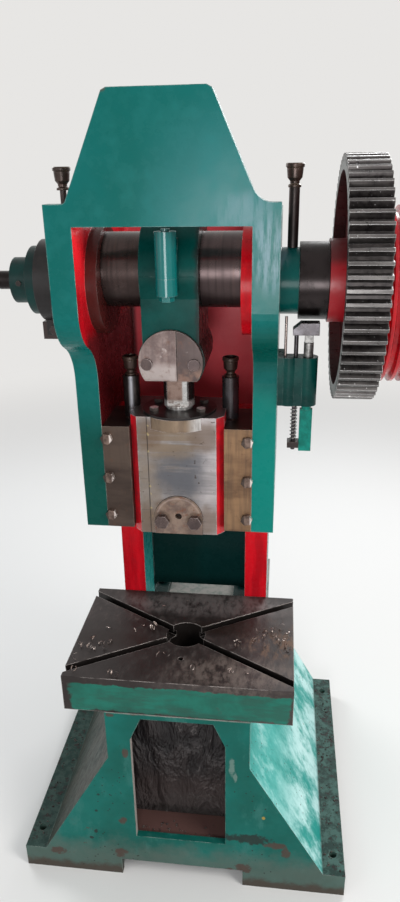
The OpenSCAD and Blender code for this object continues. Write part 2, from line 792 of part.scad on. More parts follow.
// Piece that ties the wedge's rod to the bar, and holds the spring's lower end
module trip_crosspiece() color(dark_steel) difference() {
  block([trip_rod_x - 11, bracket_y - 11, cross_z], [cross_x1, bracket_y + 11, cross_z + cross_h]);
  translate([trip_rod_x, bracket_y, cross_z - eps]) cylinder(h = cross_h + 2 * eps, r = trip_rod_r);
}

// Tension spring round the rod: it pulls the trip slide up against the bracket
trip_wire_r = 1;
trip_coil_r = trip_rod_r + trip_wire_r + 0.8;
trip_coil_turns = 10;
trip_coil_z = [cross_z + cross_h + trip_wire_r + 0.1, bracket_z - trip_wire_r - 0.1];
module trip_spring() color(bright_steel) translate([trip_rod_x, bracket_y, trip_coil_z[0]])
  coil(trip_coil_r, trip_wire_r, (trip_coil_z[1] - trip_coil_z[0]) / trip_coil_turns, trip_coil_turns);

// Crankshaft with two round webs and the pin between them, at the top of the stroke
crank_left = -drum_out - 71;
crank_right = gear_end + 25;
key_w = 14;
key_in = 6;
key_out = 5;

module drum_key() {
  block([-drum_out + 6, -key_w / 2, journal_r - key_in], [-drum_in - 6, key_w / 2, journal_r + key_out]);
}
module clutch_keyway() {
  block([clutch_x + 4, -key_w / 2, -journal_r - key_out], [clutch_end - 6, key_w / 2, -journal_r + key_in]);
}

module crankshaft() color(dark_steel) difference() {
  union() {
    at_crank() {
      xcyl(boss_in - face_gap - eps, gear_end + 8, journal_r);
      xcyl(-drum_out - 4, -boss_in + face_gap + eps, journal_r);
      xcyl(crank_left, -drum_out, stub_r);
    }
    at_pin() {
      xcyl(rod_hw + face_gap, boss_in - face_gap, web_r);
      xcyl(-boss_in + face_gap, -rod_hw - face_gap, web_r);
      xcyl(-rod_hw - eps, rod_hw + eps, pin_r);
    }
  }
  at_crank() drum_key();
  at_crank() clutch_keyway();
}

module brake_drum() color(dark_teal) at_crank() difference() {
  union() {
    xcyl(-drum_out, -drum_in, drum_r);
    xcyl(-drum_out - drum_hub_l, -drum_out + eps, drum_hub_r);
  }
  xcyl(-drum_out - 5, -drum_in + eps, journal_r);
  xcyl(-drum_out - drum_hub_l - eps, -drum_out + eps, stub_r);
  drum_key();
  translate([-drum_out - drum_hub_l / 2, 0, 0]) ycyl(-drum_hub_r - eps, -stub_r, drum_screw_r);
}

drum_screw_r = 5;
module drum_screw() color(dark_steel) at_crank()
  translate([-drum_out - drum_hub_l / 2, 0, 0]) ycyl(-drum_hub_r - 3, -stub_r, drum_screw_r);

module brake_drum_key() color(brown_steel) at_crank() drum_key();
module clutch_key() color(brown_steel) at_crank() clutch_keyway();

clutch_x = cheek_out + collar_right_l + face_gap;
clutch_pin_r = 11;
clutch_pin_at = 46;

module clutch_drum() color(dark_steel) at_crank() difference() {
  xcyl(clutch_x, clutch_end, clutch_r);
  xcyl(clutch_x - eps, clutch_end + eps, journal_r);
  clutch_keyway();
  translate([0, 0, clutch_pin_at]) xcyl(clutch_x + 12, clutch_end + eps, clutch_pin_r);
}

module clutch_pin() color(bright_steel) at_crank()
  translate([0, 0, clutch_pin_at]) xcyl(clutch_x + 12, clutch_end, clutch_pin_r);

module crank_collar() color(dark_steel) at_crank() difference() {
  xcyl(gear_end + 2 + face_gap, crank_right, 43);
  xcyl(gear_end - eps, gear_end + 8, journal_r);
}

// Half angle of a tooth, seen from the gear's centre, at a radius
function inv(a) = tan(a) * 180 / PI - a;
function tooth_half(r, teeth) =
  let (
    rp = gear_m * teeth / 2,
    rb = rp * cos(20),
    a = acos(min(1, rb / max(r, rb)))
  )
  (PI * gear_m / 2 - backlash) / 2 / rp * 180 / PI + inv(20) - inv(a);
backlash = 0.5;
addendum = 0.85 * gear_m;
dedendum = 1.25 * gear_m;

// Involute spur gear outline, with a tooth at the angle first
module gear_outline(teeth, first, steps) {
  rp = gear_m * teeth / 2;
  rr = rp - dedendum;
  ro = rp + addendum;
  base = max(rp * cos(20), rr);
  radii = concat(base > rr + 0.01 ? [rr] : [], [for (i = [0 : steps]) base + (ro - base) * i / steps]);
  n = len(radii);
  polygon([
    for (t = [0 : teeth - 1]) let (c = first + 360 * t / teeth) each concat(
      [for (i = [0 : n - 1]) let (a = c - tooth_half(radii[i], teeth)) radii[i] * [cos(a), sin(a)]],
      [for (i = [n - 1 : -1 : 0]) let (a = c + tooth_half(radii[i], teeth)) radii[i] * [cos(a), sin(a)]]
    )
  ]);
}

mesh_angle = atan2(back_y0 - slide_y, back_drop);
gear_hub_x = clutch_end + face_gap;
gear_root_r = gear_m * gear_teeth / 2 - dedendum;
gear_rim_r = gear_root_r - gear_rim;
gear_bush_r = journal_r + 8;

module bull_gear() color(dark_steel) at_crank() difference() {
  union() {
    translate([gear_x, 0, 0]) rotate([0, 90, 0]) linear_extrude(gear_w)
      gear_outline(gear_teeth, mesh_angle + 180 / gear_teeth, 3);
    xcyl(gear_hub_x, gear_end + 2, gear_hub_r);
  }
  xring(gear_x - eps, gear_x + (gear_w - gear_web) / 2, gear_rim_r, gear_hub_r);
  xring(gear_end - (gear_w - gear_web) / 2, gear_end + eps, gear_rim_r, gear_hub_r);
  xcyl(gear_hub_x - eps, gear_end + 3, gear_bush_r);
}

module gear_bush() color(bronze) at_crank()
  xring(gear_hub_x, gear_end + 2, gear_bush_r, journal_r + run_gap);

// Back shaft with pinion and flywheel
back_left = -cheek_out - 80;
back_right = flywheel_x + flywheel_w + 8;
pinion_x0 = gear_x - 2;
pinion_x1 = gear_end + 2;
back_key_w = 10;

module back_keyway(x0, x1) {
  block([x0, -back_key_w / 2, back_r - 5], [x1, back_key_w / 2, back_r + 3.5]);
}

module back_shaft() color(dark_steel) at_back_shaft() difference() {
  xcyl(back_left, back_right, back_r);
  back_keyway(pinion_x0 + 6, pinion_x1 - 6);
  back_keyway(flywheel_x + 5, flywheel_x + flywheel_w - 5);
}

module pinion() color(dark_steel) at_back_shaft() difference() {
  translate([pinion_x0, 0, 0]) rotate([0, 90, 0]) linear_extrude(pinion_x1 - pinion_x0)
    gear_outline(pinion_teeth, mesh_angle + 180, 4);
  xcyl(pinion_x0 - eps, pinion_x1 + eps, back_r);
  back_keyway(pinion_x0 + 6, pinion_x1 - 6);
}
module pinion_key() color(brown_steel) at_back_shaft() back_keyway(pinion_x0 + 6, pinion_x1 - 6);
module flywheel_key() color(brown_steel) at_back_shaft()
  back_keyway(flywheel_x + 5, flywheel_x + flywheel_w - 5);

flywheel_rim = 34;
flywheel_web = 22;
flywheel_hub_r = 55;
belt_grooves = 3;
groove_pitch = 22;
groove_r = flywheel_r - 14;

module flywheel() color(red) at_back_shaft() translate([flywheel_x, 0, 0]) rotate([0, 90, 0]) difference() {
  rotate_extrude() {
    m = flywheel_w / 2;
    polygon(concat(
      [[back_r, 0], [flywheel_hub_r, 0], [flywheel_hub_r, m - flywheel_web / 2],
       [flywheel_r - flywheel_rim, m - flywheel_web / 2], [flywheel_r - flywheel_rim, 0], [flywheel_r, 0]],
      [for (g = [0 : belt_grooves - 1]) let (z = m + (g - (belt_grooves - 1) / 2) * groove_pitch)
        each [[flywheel_r, z - 8], [groove_r, z - 4], [groove_r, z + 4], [flywheel_r, z + 8]]],
      [[flywheel_r, flywheel_w], [flywheel_r - flywheel_rim, flywheel_w],
       [flywheel_r - flywheel_rim, m + flywheel_web / 2], [flywheel_hub_r, m + flywheel_web / 2],
       [flywheel_hub_r, flywheel_w], [back_r, flywheel_w]]
    ));
  }
  rotate([0, -90, 0]) back_keyway(5, flywheel_w - 5);
}

module back_shaft_collar() color(dark_steel) at_back_shaft()
  xring(back_left + 6, -cheek_out - 44 - face_gap, 40, back_r);

// Connecting rod: body and cap close round the pin, with bronze shells between
shell_t = 6;
shell_r = pin_r + run_gap + shell_t;
rod_front_y = slide_y - 87;
rod_rear_y = slide_y + 70;
rod_round_z = rod_z + 35;
boss_span = [crank_z - 10, crank_z + 98];
boss_l_z = boss_span[1] - boss_span[0];
boss_off = big_end_r + 15;
pin_z = crank_z + throw;

module big_end() {
  at_pin() xcyl(-rod_hw, rod_hw, big_end_r);
  for (s = [-1, 1]) translate([0, slide_y + s * boss_off, boss_span[0]]) {
    cylinder(h = boss_l_z, r = bolt_boss_r);
    block([-bolt_boss_r + 3, s > 0 ? -40 : 0, 0], [bolt_boss_r - 3, s > 0 ? 0 : 40, boss_l_z - 14]);
  }
}

module rod_bores() {
  at_pin() xcyl(-rod_hw - eps, rod_hw + eps, shell_r);
  for (s = [-1, 1]) translate([0, slide_y + s * boss_off, boss_span[0] - eps])
    cylinder(h = boss_l_z + 2 * eps, r = rod_bolt_r);
}
rod_bolt_r = 8;
rod_bolt_out = 4;

module rod_body() color(teal) difference() {
  union() {
    intersection() {
      big_end();
      block([-far, -far, 0], [far, far, pin_z]);
    }
    block([-rod_hw, rod_front_y, rod_round_z], [rod_hw, rod_rear_y, pin_z - 40]);
    translate([0, 0, rod_round_z]) intersection() {
      ycyl(rod_front_y, rod_rear_y, rod_body_r);
      block([-rod_body_r, rod_front_y - eps, rod_z - rod_round_z],
            [rod_body_r, rod_rear_y + eps, rod_body_r]);
    }
  }
  rod_bores();
  translate([0, slide_y, rod_z - eps]) cylinder(h = screw_top - rod_z + eps, r = screw_r);
  both_sides() translate([clamp_bolt_x, rod_front_y, clamp_bolt_z]) ycyl(-eps, 40, clamp_bolt_r);
}

module rod_cap() color(teal) difference() {
  intersection() {
    big_end();
    block([-far, -far, pin_z], [far, far, far]);
  }
  rod_bores();
}

module rod_bolts() color(teal) for (s = [-1, 1]) translate([0, slide_y + s * boss_off, 0]) {
  translate([0, 0, boss_span[0]]) cylinder(h = boss_l_z + rod_bolt_out, r = rod_bolt_r);
  translate([0, 0, boss_span[0] - 10]) cylinder(h = 10, r = 13.5, $fn = 6);
}

module pin_shell(upper) color(bronze) difference() {
  at_pin() xring(-rod_hw, rod_hw, shell_r, pin_r + run_gap);
  block([-far, -far, upper ? 0 : pin_z], [far, far, upper ? pin_z : far]);
}
module pin_shell_upper() pin_shell(true);
module pin_shell_lower() pin_shell(false);

screw_top = 1335;
clamp_plate_t = 10;
clamp_bolt_x = 44;
clamp_bolt_z = rod_z + 32;
clamp_bolt_r = 7;
clamp_seam_x = 12;
clamp_seam_w = 1.6;

module screw_clamp() color(brown_steel) difference() {
  translate([0, 0, rod_round_z]) intersection() {
    ycyl(rod_front_y - clamp_plate_t, rod_front_y, clamp_r);
    block([-clamp_r, rod_front_y - 20, rod_z - rod_round_z], [clamp_r, rod_front_y + eps, clamp_r]);
  }
  translate([clamp_seam_x - clamp_seam_w / 2, rod_front_y - clamp_plate_t - eps, rod_z - eps])
    cube([clamp_seam_w, 5 + eps, 100]);
  both_sides() translate([clamp_bolt_x, rod_front_y, clamp_bolt_z]) ycyl(-20, eps, clamp_bolt_r);
}

module clamp_bolts() color(dark_steel) both_sides()
  translate([clamp_bolt_x, rod_front_y - clamp_plate_t, clamp_bolt_z]) rotate([90, 0, 0]) {
    cylinder(h = 5, r = 11);
    translate([0, 0, -clamp_plate_t - 38]) cylinder(h = clamp_plate_t + 39, r = clamp_bolt_r);
  }

// Ball screw: thread above, spanner flats, neck and ball below
ball_z = ram_top - ball_r - 2;
flats_y = 22.3;
flats_z = [ram_top + cap_t + 5.5, rod_z - 4];

module ball_screw() color(bright_steel) translate([0, slide_y, 0]) difference() {
  union() {
    translate([0, 0, ball_z]) rotate_extrude() intersection() {
      circle(r = ball_r);
      translate([0, -ball_r]) square([ball_r, 2 * ball_r]);
    }
    translate([0, 0, ball_z]) cylinder(h = flats_z[0] - ball_z, r = neck_r);
    translate([0, 0, flats_z[0] - 0.01]) cylinder(h = screw_top - flats_z[0], r = screw_r);
  }
  for (s = [-1, 1]) translate([0, s * (flats_y + 20), (flats_z[0] + flats_z[1]) / 2])
    cube([100, 40, flats_z[1] - flats_z[0] - 6], center = true);
}

// Slide: V guides at both sides, socket for the ball above, bore for the tool's shank below
ram_back_y = slide_y + 80;
ball_room = 1;
ball_drift = throw + 0.5;
ball_lag = 0.211 * throw + 0.6;
socket_floor = ball_z - ball_r - ball_lag - 0.3;
seat_t = 12;
seat_r = 34;

module ram_section() {
  reach = ram_vee_hw - ram_hw;
  polygon([
    [ram_front_hw, face_y], [ram_hw, face_y + 16], [ram_hw, slide_y - reach], [ram_vee_hw, slide_y],
    [ram_hw, slide_y + reach], [ram_hw, ram_back_y], [-ram_hw, ram_back_y], [-ram_hw, slide_y + reach],
    [-ram_vee_hw, slide_y], [-ram_hw, slide_y - reach], [-ram_hw, face_y + 16], [-ram_front_hw, face_y]
  ]);
}

// Round hole lengthened to the back, in which the ball drifts with the crank
module drift_hole(r, z0, z1) {
  for (y = [0, ball_drift]) translate([0, slide_y + y, z0]) cylinder(h = z1 - z0, r = r);
  block([-r, slide_y, z0], [r, slide_y + ball_drift, z1]);
}

clamp_pocket = 22;
vee_top_gap = 2;
tool_clamp_c = ram_z + tool_clamp_h - tool_clamp_r;
tool_bolt_x = 34;
tool_bolt_z = ram_z + 31;
tool_bolt_r = 7;
shank_screw_r = 7;
shank_screw_z = ram_z + 41;

module clamp_form(r, y0, y1) {
  translate([0, 0, tool_clamp_c]) intersection() {
    ycyl(y0, y1, r);
    block([-r, y0 - eps, ram_z - tool_clamp_c], [r, y1 + eps, r]);
  }
  block([-r, y0, ram_z], [r, y1, tool_clamp_c]);
}

module ram() color(bright_steel) difference() {
  union() {
    translate([0, 0, ram_z]) linear_extrude(gib_top - vee_top_gap - ram_z) ram_section();
    intersection() {
      translate([0, 0, ram_z]) linear_extrude(ram_h) ram_section();
      block([-ram_hw, -far, ram_z], [ram_hw, far, ram_top]);
    }
    translate([0, slide_y, ram_top - ram_lip_h]) cylinder(h = ram_lip_h, r = ram_collar_r);
  }
  drift_hole(ball_r + ball_room, socket_floor, ram_top + eps);
  translate([0, slide_y, socket_floor - seat_t]) cylinder(h = seat_t + eps, r = seat_r);
  translate([0, slide_y, ram_z - eps]) cylinder(h = shank_l + eps, r = shank_r);
  clamp_form(tool_clamp_r + 0.5, face_y - eps, face_y + clamp_pocket);
  both_sides() {
    translate([tool_bolt_x, 0, tool_bolt_z]) ycyl(face_y, face_y + clamp_pocket + 26, tool_bolt_r);
    translate([post_x, post_y, gib_top - 2]) cylinder(h = 200, r = post_r + 0.6);
  }
  translate([0, 0, shank_screw_z]) ycyl(face_y, slide_y, shank_screw_r);
  for (a = flange_bolt_as) translate([0, slide_y, 0]) rotate([0, 0, a])
    translate([flange_bolt_at, 0, ram_top - flange_bolt_l])
      cylinder(h = flange_bolt_l + eps, r = flange_bolt_r);
}

flange_bolt_as = [31, 149, 211, 329];
flange_bolt_at = 55;
flange_bolt_r = 5;
flange_bolt_l = 13;

module ball_flange() color(dark_steel) difference() {
  translate([0, slide_y, ram_top]) cylinder(h = cap_t, r = cap_r);
  drift_hole(neck_r + 1.5, ram_top - eps, ram_top + cap_t + eps);
  for (a = flange_bolt_as) translate([0, slide_y, 0]) rotate([0, 0, a])
    translate([flange_bolt_at, 0, ram_top - eps]) cylinder(h = cap_t + 2 * eps, r = flange_bolt_r);
}

module flange_bolts() color(bright_steel) translate([0, slide_y, 0]) for (a = flange_bolt_as)
  rotate([0, 0, a]) translate([flange_bolt_at, 0, ram_top + cap_t])
    hex_bolt(flange_bolt_r, flange_bolt_l + cap_t, 17, 7);

module ball_seat() color(bronze)
  translate([0, slide_y, socket_floor - seat_t]) cylinder(h = seat_t, r = seat_r);

module tool_clamp() color(brown_steel) difference() {
  clamp_form(tool_clamp_r, face_y - 2, face_y + clamp_pocket);
  both_sides() translate([tool_bolt_x, face_y, tool_bolt_z]) ycyl(-3, clamp_pocket + eps, tool_bolt_r);
  translate([0, face_y, shank_screw_z]) ycyl(-3, clamp_pocket + eps, shank_screw_r);
}

module tool_clamp_bolts() color(dark_steel) both_sides() translate([tool_bolt_x, face_y - 2, tool_bolt_z])
  rotate([90, 0, 0]) hex_bolt(tool_bolt_r, clamp_pocket + 27, tool_bolt_af, 12);

module shank_screw() color(dark_steel) translate([0, 0, shank_screw_z])
  ycyl(face_y + 12, slide_y - shank_r, shank_screw_r);

pedestal();
window_guard();
frame();
frame_bolts();
bolster_plate();
gib_left();
gib_right();
gib_bolts();
oil_post_left();
oil_post_right();
gib_oil_cups();
main_bush_left();
main_bush_right();
bearing_oil_pipes();
bearing_oil_cups();
back_bush_left();
back_bush_right();
brake_anchor();
brake_band();
brake_lining();
brake_bolt();
brake_spring();
trip_bracket();
bracket_bolts();
guide_rod();
trip_spring();
trip_wedge();
trip_bar();
trip_crosspiece();
crankshaft();
brake_drum();
brake_drum_key();
drum_screw();
clutch_drum();
clutch_key();
clutch_pin();
crank_collar();
bull_gear();
gear_bush();
back_shaft();
pinion();
pinion_key();
flywheel();
flywheel_key();
back_shaft_collar();
rod_body();
rod_cap();
rod_bolts();
pin_shell_upper();
pin_shell_lower();
screw_clamp();
clamp_bolts();
ball_screw();
ram();
ball_flange();
flange_bolts();
ball_seat();
tool_clamp();
tool_clamp_bolts();
shank_screw();
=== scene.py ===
"""Looks of the mechanical stamping press: materials, steel chips and dirt, studio and camera.

The solids come from the frame and aren't changed here. Lengths are metres, colours are linear.
"""

import json
import math
import random

import bpy
from mathutils import Matrix, Vector


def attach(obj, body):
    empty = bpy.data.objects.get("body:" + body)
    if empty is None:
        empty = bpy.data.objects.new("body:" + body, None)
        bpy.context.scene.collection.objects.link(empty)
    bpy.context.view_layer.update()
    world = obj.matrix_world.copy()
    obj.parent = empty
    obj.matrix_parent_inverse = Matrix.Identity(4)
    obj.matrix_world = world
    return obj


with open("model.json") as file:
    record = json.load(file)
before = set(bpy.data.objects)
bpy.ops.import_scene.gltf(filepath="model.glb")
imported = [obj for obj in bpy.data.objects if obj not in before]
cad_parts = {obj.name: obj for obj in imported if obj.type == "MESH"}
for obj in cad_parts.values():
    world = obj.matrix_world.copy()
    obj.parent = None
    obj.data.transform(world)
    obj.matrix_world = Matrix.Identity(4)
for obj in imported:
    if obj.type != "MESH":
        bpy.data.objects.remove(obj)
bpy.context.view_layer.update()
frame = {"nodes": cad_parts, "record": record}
nodes = frame["nodes"]
scene = bpy.context.scene

# ---- camera

# Place, turn and lens fitted to the straight edges of stand, bolster and frame in the photograph
CAM_AT = Vector((0.2027, -1.4811, 1.6031))
CAM_YAW = 7.05  # degrees to the left of straight ahead
CAM_PITCH = 22.30  # degrees down
CAM_ROLL = 0.94
CAM_LENS = 27.49  # mm on a 36 mm sensor
SENSOR_WIDTH = 36
FAR_CLIP = 200


def make_camera():
    """The photograph's camera."""
    yaw, pitch, roll = (math.radians(a) for a in (CAM_YAW, CAM_PITCH, CAM_ROLL))
    ahead = Vector((-math.sin(yaw) * math.cos(pitch), math.cos(yaw) * math.cos(pitch), -math.sin(pitch)))
    level = Vector((math.cos(yaw), math.sin(yaw), 0))
    down = ahead.cross(level)
    right = level * math.cos(roll) + down * math.sin(roll)
    below = down * math.cos(roll) - level * math.sin(roll)
    turn = Matrix((right, -below, -ahead)).transposed().to_4x4()
    data = bpy.data.cameras.new("camera")
    data.lens = CAM_LENS
    data.sensor_width = SENSOR_WIDTH
    data.clip_end = FAR_CLIP
    camera = bpy.data.objects.new("camera", data)
    camera.matrix_world = Matrix.Translation(CAM_AT) @ turn
    scene.collection.objects.link(camera)
    scene.camera = camera


make_camera()

# ---- places and colours


def extent(name):
    """Smallest and largest corner of a CAD node, in the part's own metres at rest."""
    places = [vertex.co for vertex in nodes[name].data.vertices]
    return tuple(Vector([pick(place[i] for place in places) for i in range(3)]) for pick in (min, max))


FRAME_LOW, FRAME_HIGH = extent("frame")
PLATE_LOW, PLATE_HIGH = extent("bolster_plate")
RAM_LOW, RAM_HIGH = extent("ram")
GIB_LOW, GIB_HIGH = extent("gib_right")

# Places on the press; the plain numbers are sizes that part.scad names
SLIDE_Y = -0.167  # the slide's axis, and the crankshaft's
CRANK_Z = 1.408
HEAD_FRONT = FRAME_LOW.y
HEAD_LOW = GIB_LOW.z
CHEEK_IN = GIB_HIGH.x
CHEEK_TOP = 1.525
HOOD_LOW = 1.516
HOOD_BACK = HEAD_FRONT + 0.030
BOSS_R = 0.100
COLUMN_IN = 0.127
COLUMN_FRONT = 0.003
WEB_FRONT = 0.116
STAND_TOP = PLATE_LOW.z
DECK_UNDER = STAND_TOP - 0.012
FLANGE_TOP = 0.063
SHELF_TOP = 0.127
CAVE_FLOOR_HW = 0.3575  # the stand's inside: half width at the floor and at the top
CAVE_TOP_HW = 0.1475
CAVE_SLOPE = 0.5641
CAVE_Y = (-0.3218, 0.3236)
RAM_FRONT = GIB_LOW.y
RAM_FLAT_HW = 0.079
RAM_LIP_LOW = RAM_HIGH.z - 0.025
TOOL_CLAMP_Z = RAM_LOW.z + 0.037  # middle of its arch
TOOL_BOLT_X = 0.034
TOOL_BOLT_Z = 0.925
GEAR_TIP_R = extent("bull_gear")[1].z - CRANK_Z
GEAR_ROOT_R = 0.2031
GEAR_RIM_R = GEAR_ROOT_R - 0.013  # inside of the rim
GEAR_HUB_R = 0.075

SKIN = 0.0003  # masks end this far, or a few times this far, off a face, so that none is half in one

TEAL = (0.002, 0.122, 0.114)
TEAL_DEEP = (0.000, 0.096, 0.084)
TEAL_GREEN = (0.005, 0.125, 0.104)
RED = (0.590, 0.006, 0.014)
RED_DARK = (0.30, 0.008, 0.014)
RED_SHADED = (0.060, 0.008, 0.009)
RUST = (0.110, 0.048, 0.032)
OIL_AND_SHADE = (0.014, 0.011, 0.010)
DUST = (0.330, 0.310, 0.285)

# ---- materials

COAT_ROUGHNESS = 0.12
BEVEL_SAMPLES = 4


class Shader:
    """One node material. Places in it are the part's own metres at rest.

    Masks run from 0 to 1. The colour is built up in layers, the later ones on top.
    """

    def __init__(self, name, metallic=0.0, roughness=0.5, coat=0.0, specular=0.5):
        self.mat = bpy.data.materials.new(name)
        self.mat.use_nodes = True
        self.tree = self.mat.node_tree
        self.bsdf = self.tree.nodes["Principled BSDF"]
        for key, value in (("Metallic", metallic), ("Roughness", roughness), ("Coat Weight", coat),
                           ("Coat Roughness", COAT_ROUGHNESS), ("Specular IOR Level", specular)):
            self.bsdf.inputs[key].default_value = value
        self.pos = self.add("ShaderNodeTexCoord").outputs["Object"]
        split = self.add("ShaderNodeSeparateXYZ")
        self.put(self.pos, split.inputs[0])
        self.x, self.y, self.z = split.outputs
        self.normal = None
        self.colour = None

    def add(self, kind):
        return self.tree.nodes.new(kind)

    def put(self, value, socket):
        """Links a socket to another one's input, or sets the input to a constant."""
        if isinstance(value, bpy.types.NodeSocket):
            self.tree.links.new(value, socket)
        elif socket.type == "RGBA":
            socket.default_value = (*value, 1)
        else:
            socket.default_value = value

    def math(self, op, a, b=0.0):
        node = self.add("ShaderNodeMath")
        node.operation = op
        self.put(a, node.inputs[0])
        self.put(b, node.inputs[1])
        return node.outputs[0]

    def mul(self, *values):
        out = values[0]
        for value in values[1:]:
            out = self.math("MULTIPLY", out, value)
        return out

    def plus(self, a, b):
        return self.math("ADD", a, b)

    def minus(self, a, b):
        return self.math("SUBTRACT", a, b)

    def abs(self, a):
        return self.math("ABSOLUTE", a)

    def either(self, a, b):
        return self.math("MAXIMUM", a, b)

    def invert(self, a):
        return self.minus(1.0, a)

    def squared(self, a):
        return self.math("POWER", self.abs(a), 2.0)

    def length(self, a, b):
        return self.math("SQRT", self.plus(self.squared(a), self.squared(b)))

    def radial(self, y, z):
        """Distance from a shaft along X."""
        return self.length(self.minus(self.y, y), self.minus(self.z, z))

    def step(self, value, lo, hi):
        """0 below lo, 1 above hi, smooth between; falls instead where hi is below lo."""
        node = self.add("ShaderNodeMapRange")
        node.interpolation_type = "SMOOTHSTEP"
        self.put(value, node.inputs["Value"])
        node.inputs["From Min"].default_value = min(lo, hi)
        node.inputs["From Max"].default_value = max(lo, hi)
        node.inputs["To Min"].default_value = 0.0 if hi > lo else 1.0
        node.inputs["To Max"].default_value = 1.0 if hi > lo else 0.0
        return node.outputs["Result"]

    def band(self, value, lo, hi, soft=0.001):
        """1 between lo and hi."""
        return self.mul(self.step(value, lo - soft, lo + soft), self.step(value, hi + soft, hi - soft))

    def grey(self, fac, lo, hi):
        """A plain number that runs from lo to hi as fac goes from 0 to 1."""
        return self.plus(self.mul(fac, hi - lo), lo)

    def stretched(self, stretch, shift):
        node = self.add("ShaderNodeMapping")
        self.put(self.pos, node.inputs["Vector"])
        node.inputs["Scale"].default_value = stretch
        node.inputs["Location"].default_value = (shift, shift * 0.7, shift * 1.3)
        return node.outputs[0]

    def noise(self, scale, detail=3.0, rough=0.55, stretch=(1, 1, 1), shift=0.0, bend=0.0):
        """Noise of about scale spots a metre; a small number in stretch draws it out along that axis."""
        node = self.add("ShaderNodeTexNoise")
        self.put(self.stretched(stretch, shift), node.inputs["Vector"])
        for key, value in (("Scale", scale), ("Detail", detail), ("Roughness", rough), ("Distortion", bend)):
            node.inputs[key].default_value = value
        return node.outputs["Fac"]

    def cells(self, scale, shift=0.0):
        """Distance to the middle of the nearest of scale cells a metre."""
        node = self.add("ShaderNodeTexVoronoi")
        self.put(self.stretched((1, 1, 1), shift), node.inputs["Vector"])
        node.inputs["Scale"].default_value = scale
        return node.outputs["Distance"]

    def side(self, axis, sign):
        """1 on faces that look along an axis, for sharp-cornered forms."""
        geometry = self.add("ShaderNodeNewGeometry")
        turn = self.add("ShaderNodeVectorTransform")
        turn.vector_type, turn.convert_from, turn.convert_to = "NORMAL", "WORLD", "OBJECT"
        self.put(geometry.outputs["True Normal"], turn.inputs[0])
        split = self.add("ShaderNodeSeparateXYZ")
        self.put(turn.outputs[0], split.inputs[0])
        return self.step(self.mul(split.outputs["XYZ".index(axis)], float(sign)), 0.35, 0.6)

    def blob(self, centre, radii, soft=0.5, ragged=0.35, scale=60.0):
        """1 near a point, with a ragged border; an axis whose centre is None doesn't count."""
        total = None
        for value, c, r in zip((self.x, self.y, self.z), centre, radii):
            if c is None:
                continue
            d = self.squared(self.mul(self.minus(value, c), 1 / r))
            total = d if total is None else self.plus(total, d)
        warp = self.mul(self.minus(self.noise(scale, 3), 0.5), ragged * 4)
        return self.step(self.plus(total, warp), 1 + soft, 1 - soft)

    def edges(self, radius=0.0022):
        """1 on the part's edges, from the rounding that also smooths the shading there."""
        bevel = self.add("ShaderNodeBevel")
        bevel.samples = BEVEL_SAMPLES
        bevel.inputs["Radius"].default_value = radius
        self.normal = bevel.outputs[0]
        geometry = self.add("ShaderNodeNewGeometry")
        dot = self.add("ShaderNodeVectorMath")
        dot.operation = "DOT_PRODUCT"
        self.put(bevel.outputs[0], dot.inputs[0])
        self.put(geometry.outputs["Normal"], dot.inputs[1])
        return self.step(self.invert(dot.outputs["Value"]), 0.01, 0.12)

    def mix(self, fac, a, b):
        node = self.add("ShaderNodeMix")
        node.data_type = "RGBA"
        colours = [socket for socket in node.inputs if socket.type == "RGBA"]
        self.put(fac, node.inputs[0])
        self.put(a, colours[0])
        self.put(b, colours[1])
        return next(socket for socket in node.outputs if socket.type == "RGBA")

    def lay(self, tone, *masks):
        """Lays a tone over the colour so far, by the product of the masks and shares."""
        self.colour = self.mix(self.mul(*masks), self.colour, tone)

    def wear_and_highlight(self, edge, tone, share, scale=40, detail=3, rough=0.6, lo=0.36, hi=0.58):
        """Lays a tone on the edges, broken up by noise: wear, and on some parts a painted highlight too."""
        self.lay(tone, edge, self.step(self.noise(scale, detail, rough, shift=2), lo, hi), share)

    def bump(self, height, strength, distance):
        node = self.add("ShaderNodeBump")
        node.inputs["Strength"].default_value = strength
        node.inputs["Distance"].default_value = distance
        self.put(height, node.inputs["Height"])
        if self.normal is not None:
            self.put(self.normal, node.inputs["Normal"])
        self.normal = node.outputs[0]

    def finish(self, roughness, metallic=None):
        """Links what was built up to the material's shader."""
        for key, value in (("Base Color", self.colour), ("Roughness", roughness), ("Metallic", metallic),
                           ("Normal", self.normal)):
            if value is not None:
                self.put(value, self.bsdf.inputs[key])
        return self.mat


